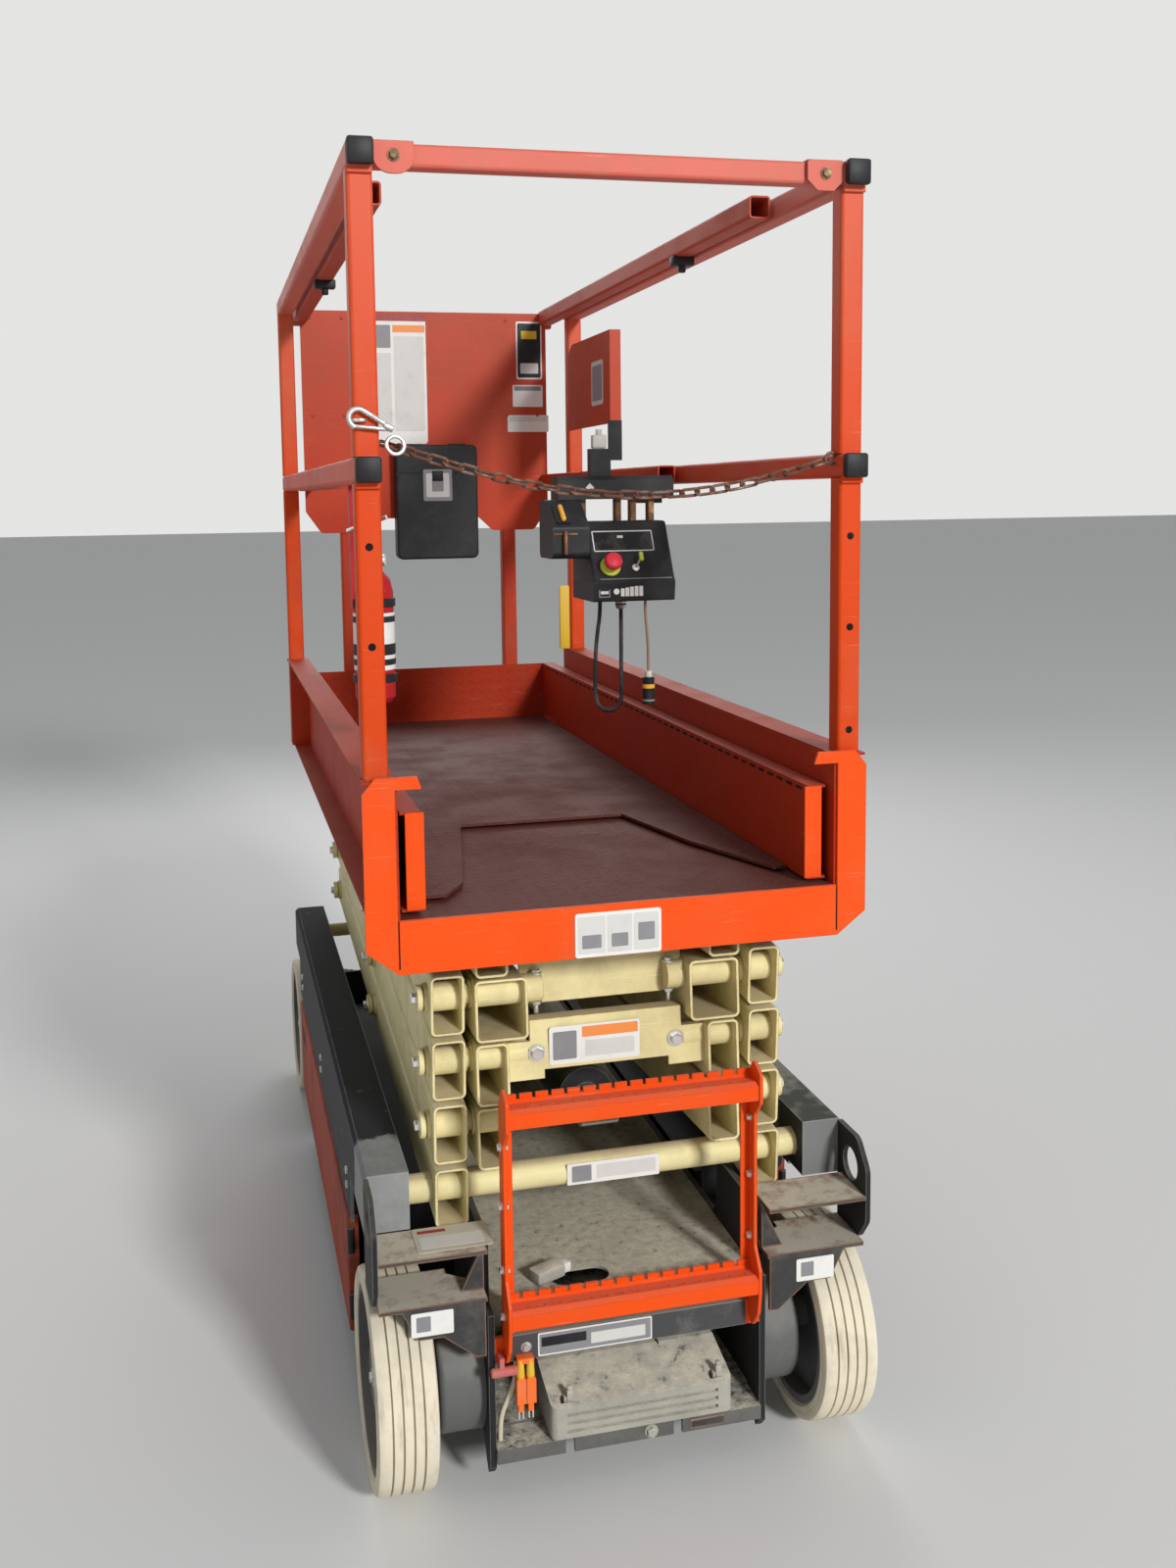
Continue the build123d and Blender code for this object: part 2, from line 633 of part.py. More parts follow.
# ---- platform -------------------------------------------------------------------------------
def platform_deck():
    """The deck plate with its roller channels, pin lugs and cross ribs underneath."""
    top, bottom = deck_top_z, deck_top_z - deck_thickness
    deck_half = web_x - sheet
    deck = block((-deck_half, deck_half), (platform_near_y, platform_far_y), (bottom, top))
    half_z = deck_roller_radius + roller_clearance
    track_y = (raised_far_pin_y - deck_roller_radius - 12, platform_far_y)
    track = block(track_x, track_y, (top_pin_z - half_z - track_wall, bottom))
    inside_x = (track_x[0] - 1, track_x[1] - track_wall)
    inside_y = (track_y[0] + track_wall, track_y[1] - track_wall)
    track -= block(inside_x, inside_y, (top_pin_z - half_z, top_pin_z + half_z))
    track -= block(inside_x, inside_y, (top_pin_z + half_z + track_wall, bottom - 1))
    deck += both_sides(track)
    for x in ((222, 232), (270, 280)):
        lug = block(x, (pivot_y - 30, pivot_y + 30), (top_pin_z - 26, bottom))
        lug -= rod_x(pin_radius + pin_clearance, (200, 300), pivot_y, top_pin_z)
        deck += both_sides(lug)
    rib_half = outer_arm_x[0] - 12
    for y in (platform_far_y - 610, platform_far_y - 360, platform_far_y - 110):
        deck += block((-rib_half, rib_half), (y, y + 40), (bottom - 18, bottom))
    return deck


def end_plates():
    """The near fascia with its two chamfered C-shaped corner plates, cut from one sheet."""
    half, web, lip = platform_half_width, web_x, toe_board_top_z + 5
    corner_z = fascia_bottom_z + 35
    outline = [(-half, corner_z), (-web, fascia_bottom_z), (web, fascia_bottom_z), (half, corner_z),
               (half, lip - 22), (half - 18, lip), (half - 78, lip), (half - 84, lip - 18), (web, lip - 18),
               (web, deck_top_z), (-web, deck_top_z), (-web, lip - 18), (84 - half, lip - 18),
               (78 - half, lip), (18 - half, lip), (-half, lip - 22)]
    return plate_y(outline, (platform_near_y - 5, platform_near_y))


def side_channels():
    """Toe boards: sheet channels that open outwards."""
    y = (platform_near_y, platform_far_y)
    low = deck_top_z - 14
    web = block((web_x - sheet, web_x), y, (low, toe_board_top_z))
    top = block((web_x - sheet, platform_half_width), y, (toe_board_top_z - sheet, toe_board_top_z))
    foot = block((web_x - sheet, platform_half_width - 10), y, (low, low + sheet))
    return both_sides(web + top + foot)


def rail_posts():
    half = rail_tube / 2
    spans = ((toe_board_top_z, mid_rail_top_z - rail_tube), (mid_rail_top_z, top_rail_top_z - rail_tube))
    posts = Part()
    for y in (post_y, far_post_y):
        for z in spans:
            posts += both_sides(square_tube(rail_x, (y - half, y + half), z, "z", rail_wall))
    return posts


def post_sockets():
    z = (deck_top_z - 10, toe_board_top_z - sheet)
    return both_sides(block((web_x, platform_half_width - 4), (far_post_y - 30, far_post_y + 24), z))


def rail_pair(z_top, x, y):
    return both_sides(square_tube(x, y, (z_top - rail_tube, z_top), "y", rail_wall))


def side_rails():
    half = rail_tube / 2
    rails = rail_pair(top_rail_top_z, rail_x, (platform_near_y + 4, far_post_y + half))
    return rails + rail_pair(mid_rail_top_z, rail_x, (post_y - half - 10, far_post_y + half))


def entry_bar():
    half = rail_x[0]
    z = (top_rail_top_z - rail_tube + 2, top_rail_top_z - 2)
    return square_tube((-half, half), (post_y - 16, post_y + 16), z, "x", rail_wall)


# ---- sliding extension ----------------------------------------------------------------------
def extension_deck():
    """The sliding tread plate. Its near edge is cut back in the middle and slants to a tongue each side."""
    near, half = extension_near_y, extension_web_x - 5
    outline = [(-half, near + 60), (-half + 40, near + 60), (-half + 75, near + 120), (-150, near + 500),
               (150, near + 500), (200, near + 270), (half - 20, near + 70), (half, near + 70),
               (half, extension_far_y), (-half, extension_far_y)]
    return plate_z(outline, (extension_deck_z, extension_deck_z + 5))


def extension_toe_boards():
    half, web = extension_half, extension_web_x
    y = (extension_near_y, extension_far_y)
    z = (extension_deck_z, extension_toe_top_z)
    side = block((web, web + sheet), y, z)
    side += block((web, half), y, (z[1] - sheet, z[1]))
    side += block((web, half), y, (z[0], z[0] + sheet))
    far = block((-half, half), (extension_far_y, extension_far_y + sheet), z)
    return both_sides(side) + far


def extension_rails():
    rails = rail_pair(top_rail_top_z, extension_rail_x, (extension_top_rail_near_y, extension_far_y))
    return rails + rail_pair(mid_rail_top_z, extension_rail_x, (extension_mid_rail_near_y, extension_far_y))


def extension_posts():
    y = (extension_far_y + sheet, extension_far_y + sheet + rail_tube)
    top = top_rail_top_z - 6
    x = (extension_post_x, extension_post_x + rail_tube)
    post = square_tube(x, y, (extension_deck_z + 40, top - rail_tube), "z", rail_wall)
    half = extension_rail_x[1]
    return both_sides(post) + square_tube((-half, half), y, (top - rail_tube, top), "x", rail_wall)


def end_panel():
    """The far panel, whose lower edge dips in a rounded lobe round each post."""
    top, low = top_rail_top_z - 6, panel_bottom_z
    half, inner = 315, extension_post_x - 26
    outline = [(-half, top), (-half, low + 55), (38 - half, low), (-inner, low), (37 - inner, low + 35),
               (inner - 37, low + 35), (inner, low), (half - 38, low), (half, low + 55), (half, top)]
    return plate_y(outline, (extension_far_y, extension_far_y + sheet), corner=12)


console_x = (120.0, 277.0)
console_back_y = extension_mid_rail_near_y - 5
console_top_z = mid_rail_top_z - 20


def console():
    """The control box under its hood, hung on the near end of the sliding deck's middle rail."""
    back, top = console_back_y, console_top_z
    low = top - 233
    profile = [(back, low), (back - 150, low), (back - 155, low + 36), (back - 45, low + 145),
               (back, low + 145)]
    box = plate_x(profile, console_x, corner=4)
    profile = [(back - 58, top - 44), (back - 58, top - 8), (back - 46, top), (back, top), (back, top - 44)]
    hood = plate_x(profile, (78, console_x[1] + 30))
    struts = Part()
    for x in (126, 196, 226, 262):
        struts += block((x, x + 10), (back - 40, back - 22), (low + 140, top - 40))
    profile = [(back - 20, low + 80), (back - 125, low + 80), (back - 125, low + 140), (back - 60, top - 44),
               (back - 20, top - 44)]
    pod = plate_x(profile, (50, console_x[0]), corner=12)
    hook = block((console_x[1] - 15, extension_rail_x[0]), (back - 20, back + 85), (top - 53, top - 3))
    outlet = block((150, 190), (back - 30, back - 6), (top - 1, top + 52))
    outlet += block((188, 214), (back - 26, back - 18), (top + 30, top + 106))
    gland = rod_z(11, 210, back - 22, (low - 16, low + 1))
    plug = rod_z(12, 271, back - 4, (low - 216, low - 162))
    return box + hood + struts + pod + hook + outlet + gland + plug


def side_panel():
    """A flanged sheet on the right far post of the fixed rails."""
    near, far = far_post_y - 390, far_post_y - rail_tube / 2
    low, high = top_rail_top_z - 312, top_rail_top_z - 102
    x = (rail_x[0], rail_x[0] + sheet)
    panel = plate_x([(near, low), (far, low), (far, high - 24), (far - 40, high), (near, high)], x)
    return panel + block((x[0], x[0] + 26), (near - sheet, near), (low, high))


def fire_extinguisher():
    """A small bottle hung on the left middle rail: turned body, valve with levers, and its strap."""
    x, y = rail_x[0] * -1 + 22, post_y + 292
    low = mid_rail_top_z - 380
    half_outline = [(0, low), (26, low), (32, low + 8), (32, low + 176), (27, low + 196), (13, low + 212),
                    (11, low + 234), (0, low + 234)]
    face = make_face(Polyline(*half_outline, close=True))
    face = fillet(face.vertices().sort_by(Axis.Y)[4:6], 8)
    bottle = Pos(x, y, 0) * revolve(Plane.XZ * face, Axis.Z)
    valve = block((x - 8, x + 8), (y - 52, y + 18), (low + 228, low + 238))
    lever = [(y - 54, low + 246), (y - 50, low + 256), (y + 12, low + 240), (y + 12, low + 234)]
    valve += plate_x(lever, (x - 6, x + 6))
    strap = block((x - 35, x - 28), (y - 10, y + 10), (low + 150, mid_rail_top_z - rail_tube))
    return bottle + valve + strap


def document_box():
    """A moulded box for the manuals on the far panel, with its lid's lip."""
    y = (extension_far_y - 45, extension_far_y)
    z = (deck_top_z + 435, deck_top_z + 725)
    box = block((-90, 120), y, z)
    box = fillet(box.edges().filter_by(Axis.Y), 16)
    box = fillet(box.faces().sort_by(Axis.Y)[0].edges(), 6)
    lid_z = z[1] - 74
    return box - block((-91, 121), (y[0] - 1, y[0] + 3), (lid_z, lid_z + 4))


# ---- cords ----------------------------------------------------------------------------------
def cord_tube(points, radius):
    """A round tube along straight runs joined by arcs as large as the runs allow."""
    radii = []
    for before, corner, after in zip(points, points[1:], points[2:]):
        first, second = Vector(*corner) - Vector(*before), Vector(*after) - Vector(*corner)
        turn = radians(first.get_angle(second))
        radii.append(0.45 * min(first.length, second.length) / tan(turn / 2))
    path = FilletPolyline(*points, radius=radii)
    start = Plane(origin=path @ 0, z_dir=path % 0)
    return sweep(start * Circle(radius), path=path, transition=Transition.ROUND)


chain_points = [
    (-337, -853, 1572), (-300, -853, 1561), (-250, -854, 1545), (-195, -853, 1529), (-135, -852, 1514),
    (-70, -853, 1503), (-5, -854, 1497), (60, -853, 1495), (125, -852, 1499), (190, -853, 1508),
    (245, -853, 1521), (295, -852, 1534), (337, -852, 1546)]
control_cable_points = [
    (210, -167, 1284), (210, -167, 1240), (209, -170, 1200), (208, -172, 1160), (208, -174, 1122),
    (208, -174, 1104), (203, -175, 1089), (190, -176, 1079), (174, -176, 1079), (161, -175, 1088),
    (156, -174, 1104), (155, -172, 1122), (156, -169, 1158), (159, -164, 1196), (165, -158, 1234),
    (172, -153, 1268), (172, -153, 1300)]
sensor_cable_points = [
    (262, -160, 1300), (262, -160, 1268), (266, -157, 1234), (270, -152, 1202), (271, -149, 1170),
    (271, -149, 1138)]
charger_lead_points = [
    (-176, -884, 225), (-176, -884, 203), (-180, -880, 180), (-188, -875, 158), (-196, -871, 136),
    (-199, -870, 114), (-199, -870, 92)]


# ---- all pieces -----------------------------------------------------------------------------
keep("side_beams", side_beams())
keep("tie_down_plates", tie_down_plates())
keep("pocket_shelves", pocket_shelves())
keep("frame_plates", frame_plates())
keep("floor_pan", floor_pan())
keep("centre_cover", centre_cover())
keep("beam_hangers", beam_hangers())
keep("ladder", ladder())
keep("charger_box", charger_box())
keep("charge_plugs", charge_plugs())
keep("lowering_handle", lowering_handle())
keep("drive_motors", drive_motors())
keep("steer_axle", steer_axle())
keep("power_packs", power_packs())
for name, side in (("left", -1), ("right", 1)):
    keep(f"tray_door_{name}", tray_door(side))
    keep(f"drive_tyre_{name}", tyre(side * wheel_x, drive_wheel_y))
    keep(f"drive_rim_{name}", rim(side * wheel_x, drive_wheel_y))
    keep(f"steer_tyre_{name}", tyre(side * wheel_x, steer_wheel_y))
    keep(f"steer_rim_{name}", rim(side * wheel_x, steer_wheel_y))
    keep(f"steer_knuckle_{name}", steer_knuckle(side))
keep("tie_rod", tie_rod())
for level in (1, 2, 3, 4):
    keep(f"outer_arm_{level}", outer_arm(level))
    keep(f"inner_arm_{level}", inner_arm(level))
keep("lift_barrel", lift_barrel())
keep("lift_rod", lift_rod())
keep("platform_deck", platform_deck())
keep("end_plates", end_plates())
keep("side_channels", side_channels())
keep("rail_posts", rail_posts())
keep("post_sockets", post_sockets())
keep("side_rails", side_rails())
keep("entry_bar", entry_bar())
keep("extension_deck", extension_deck())
keep("extension_toe_boards", extension_toe_boards())
keep("extension_rails", extension_rails())
keep("extension_posts", extension_posts())
keep("end_panel", end_panel())
keep("control_console", console())
keep("document_box", document_box())
keep("side_panel", side_panel())
keep("fire_extinguisher", fire_extinguisher())
keep("entry_chain", cord_tube(chain_points, 5))
keep("control_cable", cord_tube(control_cable_points, 4))
keep("sensor_cable", cord_tube(sensor_cable_points, 3))
keep("charger_lead", cord_tube(charger_lead_points, 4))

os.makedirs("parts", exist_ok=True)
for name, shape in nodes.items():
    export_step(shape, f"parts/{name}.step")
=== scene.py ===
import bpy
import bmesh
import json
import math
import random
from mathutils import Euler, Matrix, Vector


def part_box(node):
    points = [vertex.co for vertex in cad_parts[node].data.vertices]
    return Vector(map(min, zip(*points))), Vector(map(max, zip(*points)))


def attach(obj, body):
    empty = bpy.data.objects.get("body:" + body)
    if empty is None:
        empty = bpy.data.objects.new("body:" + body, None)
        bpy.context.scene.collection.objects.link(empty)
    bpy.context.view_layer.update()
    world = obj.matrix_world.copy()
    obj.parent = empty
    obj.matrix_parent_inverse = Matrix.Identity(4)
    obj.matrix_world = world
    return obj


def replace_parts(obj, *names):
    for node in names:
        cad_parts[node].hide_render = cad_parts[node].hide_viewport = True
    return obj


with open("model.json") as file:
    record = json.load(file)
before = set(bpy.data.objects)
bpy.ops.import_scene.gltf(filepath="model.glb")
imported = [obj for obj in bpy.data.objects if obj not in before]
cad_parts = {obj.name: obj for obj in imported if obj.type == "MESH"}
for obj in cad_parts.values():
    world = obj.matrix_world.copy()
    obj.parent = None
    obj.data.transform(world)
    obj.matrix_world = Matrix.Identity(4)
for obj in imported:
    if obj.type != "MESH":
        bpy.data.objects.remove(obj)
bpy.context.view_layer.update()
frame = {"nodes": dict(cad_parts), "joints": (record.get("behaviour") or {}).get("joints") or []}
random.seed(7)

view = {"place": (-0.589, -2.8495, 1.496), "turn": -13.843, "tilt": -6.247, "roll": -0.803, "lens": 33.04,
        "sensor": 36, "shift": (0.0225, -0.0831)}
studio = {"floorColour": (0.72, 0.72, 0.71), "floorRough": 0.7, "floorSize": 120, "floorCentre": (0, 6, 0),
          "sky": (0.9, 0.92, 0.95), "skyStrength": 0.34, "backdrop": (0.78, 0.78, 0.77), "aim": (0, 0, 0.9)}
lamps = {"key": {"power": 1500, "size": 1.8, "place": (3.6, -12.5, 6.2)},
         "fill": {"power": 9, "size": 3, "place": (-3.6, -2.4, 2.6)},
         "back": {"power": 70, "size": 3, "place": (0.5, 4, 3.5)}}


def linked(name, data):
    made = bpy.data.objects.new(name, data)
    bpy.context.scene.collection.objects.link(made)
    return made


def addCamera():
    camera = bpy.data.cameras.new("camera")
    camera.lens, camera.sensor_width = view["lens"], view["sensor"]
    camera.shift_x, camera.shift_y = view["shift"]
    holder = linked("camera", camera)
    level = Euler((math.radians(90 + view["tilt"]), 0, math.radians(view["turn"]))).to_matrix()
    holder.rotation_euler = (level @ Matrix.Rotation(math.radians(view["roll"]), 3, "Z")).to_euler()
    holder.location = view["place"]
    bpy.context.scene.camera = holder


def addLamp(name, facts):
    lamp = bpy.data.lights.new(name, "AREA")
    lamp.energy, lamp.size = facts["power"], facts["size"]
    holder = linked(name, lamp)
    holder.location = facts["place"]
    aim = Vector(studio["aim"]) - Vector(facts["place"])
    holder.rotation_euler = aim.to_track_quat("-Z", "Y").to_euler()


def addWorld():
    world = bpy.data.worlds.new("world")
    bpy.context.scene.world = world
    world.use_nodes = True
    tree = world.node_tree
    sky, seen = tree.nodes["Background"], tree.nodes.new("ShaderNodeBackground")
    sky.inputs["Color"].default_value = (*studio["sky"], 1)
    sky.inputs["Strength"].default_value = studio["skyStrength"]
    seen.inputs["Color"].default_value = (*studio["backdrop"], 1)    # what the camera and shiny metal see
    rays, chosen = tree.nodes.new("ShaderNodeLightPath"), tree.nodes.new("ShaderNodeMixShader")
    asking = rays.outputs["Is Camera Ray"]
    for kind in ("Is Glossy Ray", "Is Transmission Ray"):
        either = tree.nodes.new("ShaderNodeMath")      # adds the two, and stays at most 1
        either.use_clamp = True
        tree.links.new(asking, either.inputs[0])
        tree.links.new(rays.outputs[kind], either.inputs[1])
        asking = either.outputs[0]
    for index, source in enumerate((asking, sky.outputs[0], seen.outputs[0])):
        tree.links.new(source, chosen.inputs[index])
    tree.links.new(chosen.outputs[0], tree.nodes["World Output"].inputs["Surface"])


def operator(operation, swapped=False):
    return lambda value, other: value.maths(operation, other, swapped)


class Val:
    def __init__(self, finish, socket):
        self.finish, self.socket = finish, socket

    def maths(self, operation, other=None, swapped=False):
        pair = (other, self) if swapped else (self, other)
        return self.finish.node("Math", {"operation": operation}, *[v for v in pair if v is not None])

    def clamped(self):
        return self.maths("MAXIMUM", 0).maths("MINIMUM", 1)

    def above(self, level, soft=0.05):                 # 0 under the level and 1 over it, with a soft step
        return ((self - (level - soft)) / (2 * soft)).clamped()

    __add__ = __radd__ = operator("ADD")
    __sub__, __rsub__ = operator("SUBTRACT"), operator("SUBTRACT", True)
    __mul__ = __rmul__ = operator("MULTIPLY")
    __truediv__, __pow__ = operator("DIVIDE"), operator("POWER")


treadBars = {"pitch": 0.0254, "long": 0.3, "wide": 0.085}


class Finish:
    def __init__(self, name, **fixed):
        self.material = bpy.data.materials.new(name)
        self.material.use_nodes = True
        self.tree = self.material.node_tree
        self.shader = self.tree.nodes["Principled BSDF"]
        self.fill(self.shader, fixed)
        self.place = self.node("TexCoord", out="Object")

    def put(self, socket, value):
        if isinstance(value, Val):
            self.tree.links.new(value.socket, socket)
        elif isinstance(value, tuple) and len(value) == 3 and socket.type == "RGBA":
            socket.default_value = (*value, 1)
        else:
            socket.default_value = value

    def fill(self, node, inputs):
        for key, value in inputs.items():
            self.put(node.inputs[key.replace("_", " ")], value)

    def node(self, kind, settings=None, *ordered, out=0, **inputs):
        made = self.tree.nodes.new("ShaderNode" + kind)
        for key, value in (settings or {}).items():
            setattr(made, key, value)
        for socket, value in zip([s for s in made.inputs if s.enabled], ordered):
            self.put(socket, value)
        self.fill(made, inputs)
        return Val(self, made.outputs[out])

    def mix(self, factor, first, second):
        return self.node("Mix", {"data_type": "RGBA"}, factor, first, second, out=2)

    def noise(self, scale, detail=3, rough=0.55, stretch=None):
        place = self.node("Mapping", None, Vector=self.place, Scale=stretch) if stretch else self.place
        return self.node("TexNoise", None, Vector=place, Scale=scale, Detail=detail, Roughness=rough)

    def axis(self, letter):
        return self.node("SeparateXYZ", None, self.place, out=letter)

    def facing(self, letter):
        return self.node("SeparateXYZ", None, self.node("NewGeometry", out="Normal"), out=letter)

    def lying(self):
        return self.facing("Z").maths("MAXIMUM", 0)

    def bars(self, across, along):                     # raised lozenges, turned by right angles
        pitch = 2 * treadBars["pitch"]
        a, b = (across + along) / pitch, (across - along) / pitch
        whole = None
        for first, second, offset in ((a, b, 0), (b, a, 0.5)):
            u = ((first + offset).maths("FRACT") - 0.5).maths("ABSOLUTE")
            v = ((second + offset).maths("FRACT") - 0.5).maths("ABSOLUTE")
            bar = (1 - ((u / treadBars["long"]) ** 2 + (v / treadBars["wide"]) ** 2)).clamped()
            whole = bar if whole is None else whole.maths("MAXIMUM", bar)
        return whole

    def edges(self, radius=0.0015):
        rounded = self.node("Bevel", {"samples": 4}, Radius=radius)
        flat = self.node("NewGeometry", out="Normal")
        same = self.node("VectorMath", {"operation": "DOT_PRODUCT"}, rounded, flat, out="Value")
        return ((1 - same) * 9).clamped()

    def bump(self, height, strength, distance=0.001, **under):
        return self.node("Bump", None, Height=height, Strength=strength, Distance=distance, **under)

    def give(self, colour, rough, **others):
        self.fill(self.shader, {"Base_Color": colour, "Roughness": rough, **others})
        return self.material


def tinted(colour, times, plus=0):
    return tuple(min(1, c * times + plus) for c in colour)


def paintFinish(name, colour, shade, dust, chip, fadeAndSheen=None, gloss=0.38, dirt=0.2, wear=0.5,
                pressed=False):
    f = Finish(name, IOR=1.5, Specular_IOR_Level=0.18)
    cloud, patches, speckle = f.noise(2.3, 5), f.noise(14, 6, 0.65), f.noise(260, 3, 0.6)
    scratchA = f.noise(5, 2, 0.4, (3, 160, 90)).above(0.69, 0.02)
    scratchB = f.noise(6, 2, 0.4, (120, 5, 140)).above(0.7, 0.02)
    scratches = (scratchA + scratchB).clamped() * patches.above(0.5, 0.1)
    worn = (f.edges() * (patches * 0.6 + speckle * 0.5)).above(1.02 - wear, 0.06)
    chips = (speckle * 0.5 + patches * 0.55).above(0.735 - 0.02 * wear, 0.012)
    bare = (worn + chips).maths("MINIMUM", 1)
    dusty = ((cloud + patches - 0.95) * 3).clamped() * dirt
    body = f.mix(cloud.above(0.5, 0.25), colour, shade)
    if fadeAndSheen:                                       # lighter high up and on what faces up: partly sun fading, partly a painted highlight standing in for glare on the upper rails; on the cream arms a darker dirt colour on the tops
        high = ((f.axis("Z") - 1.5) * 1.1).clamped()
        topsAndHighUp = f.lying().above(0.85, 0.1).maths("MAXIMUM", high)
        body = f.mix(topsAndHighUp * (0.35 + patches * 0.6), body, fadeAndSheen)
    body = f.mix(dusty, body, dust)
    body = f.mix(scratches * 0.45, body, tinted(colour, 1.5, 0.12))
    body = f.mix(bare, body, f.mix(speckle.above(0.5, 0.1), chip, (0.1, 0.045, 0.025)))
    relief = f.bump(speckle * 0.25 + bare * -1 + scratches * -0.4, 0.35, 0.0006)
    if pressed:                                        # tread bars on the faces that look along Y
        bars = f.bars(f.axis("X"), f.axis("Z")).maths("MINIMUM", 0.6)
        bars = bars * f.facing("Y").maths("ABSOLUTE").above(0.8, 0.05)
        relief = f.bump(bars, 0.7, 0.0018, Normal=relief)
    return f.give(body, gloss + dusty * 0.4 + bare * 0.3 + patches * 0.1, Normal=relief)


# name, colour, shade, dust, chip, and where they differ: fade and painted highlight on tops and high up,
# gloss, dirt, wear, pressed
paints = {
    "orange": ("orangePaint", (0.83, 0.08, 0.001), (0.76, 0.062, 0.004), (0.5, 0.16, 0.05),
               (0.22, 0.09, 0.04), (0.78, 0.17, 0.1)),
    "post": ("postPaint", (0.64, 0.054, 0.001), (0.55, 0.046, 0.002), (0.46, 0.17, 0.08),
             (0.2, 0.09, 0.05), (0.66, 0.18, 0.12)),
    # a darker copy of the orange for the side rails and entry bar: scuffed paint, with its darker base
    # painted shade
    "aged": ("scuffedOrangePaint", (0.66, 0.064, 0.014), (0.54, 0.05, 0.014), (0.46, 0.2, 0.14),
             (0.2, 0.09, 0.06), (0.62, 0.28, 0.25), 0.42, 0.3),
    # a darker red copy of the orange, painted shade on the end panel, side panel, sockets and extension rails
    # and posts
    "red": ("agedOrangePaint", (0.52, 0.046, 0.012), (0.42, 0.036, 0.01), (0.34, 0.11, 0.06),
            (0.16, 0.07, 0.04), (0.5, 0.13, 0.09), 0.45, 0.35),
    "deepRed": ("shadedOrangePaint", (0.44, 0.03, 0.003), (0.33, 0.022, 0.004), (0.26, 0.08, 0.04),
                (0.14, 0.06, 0.04), (0.36, 0.07, 0.04), 0.5, 0.2, 0.5, True),
    "door": ("doorOrange", (0.36, 0.04, 0.01), (0.24, 0.028, 0.01), (0.12, 0.07, 0.05), (0.05, 0.03, 0.02),
             None, 0.5, 0.7),
    "cream": ("creamPaint", (0.78, 0.71, 0.39), (0.74, 0.64, 0.32), (0.34, 0.26, 0.14), (0.2, 0.11, 0.05),
              (0.46, 0.37, 0.26), 0.4, 0.45, 0.55),
    "bottle": ("bottleRed", (0.42, 0.01, 0.015), (0.34, 0.01, 0.012), (0.25, 0.1, 0.08), (0.1, 0.05, 0.04))}


def sootyFinish(name, colour, dust, rust, dustiness, rustiness, rough=0.55):
    f = Finish(name, IOR=1.45, Specular_IOR_Level=0.25)
    cloud, patches, grain = f.noise(3.1, 6, 0.6), f.noise(19, 7, 0.7), f.noise(420, 3, 0.6)
    dusty = (cloud + patches) * 0.5 + f.lying() * (0.25 + 0.5 * dustiness) + grain * 0.12
    dusty = ((dusty - 0.74 + 0.25 * dustiness) * 3.2).clamped()
    edge = f.edges(0.002)
    rusty = (edge * 0.35 + patches * 0.55 + grain * 0.2).above(0.86 - 0.35 * rustiness, 0.06)
    chipped = (edge * 0.55 + cloud * 0.5 + grain * 0.2).above(0.74, 0.06)
    body = f.mix(dusty * 0.85, colour, f.mix(grain, dust, tinted(dust, 0.6)))
    body = f.mix(chipped * 0.7, body, (0.34, 0.32, 0.29))
    body = f.mix(rusty, body, f.mix(patches.above(0.52, 0.1), rust, tinted(rust, 0.45)))
    relief = f.bump(grain * 0.5 + dusty * 0.4 + rusty * 0.7, 0.4, 0.0008)
    return f.give(body, (rough + dusty * 0.3 + rusty * 0.25).maths("MINIMUM", 0.95), Normal=relief)


# name, colour, dust, rust, how dusty, how rusty, roughness
sootyPaints = {
    "black": ("sootyBlack", (0.016, 0.016, 0.018), (0.22, 0.2, 0.16), (0.26, 0.12, 0.06), 0.12, 0.15),
    "grey": ("knockedGrey", (0.06, 0.061, 0.063), (0.38, 0.36, 0.31), (0.28, 0.15, 0.08), 0.35, 0.3, 0.5),
    "motor": ("motorGrey", (0.13, 0.135, 0.13), (0.34, 0.32, 0.27), (0.2, 0.12, 0.07), 0.3, 0.1, 0.45),
    "rim": ("wheelGrey", (0.13, 0.13, 0.13), (0.34, 0.31, 0.26), (0.25, 0.12, 0.06), 0.4, 0.3)}


def metalFinish(name, colour, rough, tarnished=0.3, tarnish=(0.25, 0.18, 0.12)):
    f = Finish(name)
    patches, grain = f.noise(45, 6, 0.7), f.noise(700, 2)
    dull = patches.above(0.72 - 0.3 * tarnished, 0.12)
    return f.give(f.mix(dull, colour, tarnish), rough + dull * 0.4, Metallic=1 - dull * 0.8,
                  Normal=f.bump(grain * 0.4 + dull * 0.5, 0.3, 0.0004))


# name, colour, roughness, how tarnished, tarnish
metals = {"steel": ("boltSteel", (0.58, 0.57, 0.55), 0.42),
          "chrome": ("rodChrome", (0.85, 0.85, 0.86), 0.12, 0),
          "zinc": ("zincBolt", (0.8, 0.8, 0.78), 0.3, 0.2, (0.45, 0.42, 0.36)),
          "brass": ("yellowZinc", (0.34, 0.24, 0.13), 0.5, 0.7, (0.16, 0.09, 0.05)),
          "chain": ("rustyChain", (0.3, 0.2, 0.15), 0.5, 1, (0.13, 0.05, 0.03)),
          "browned": ("brownedSteel", (0.26, 0.15, 0.08), 0.5, 0.8, (0.16, 0.07, 0.04))}


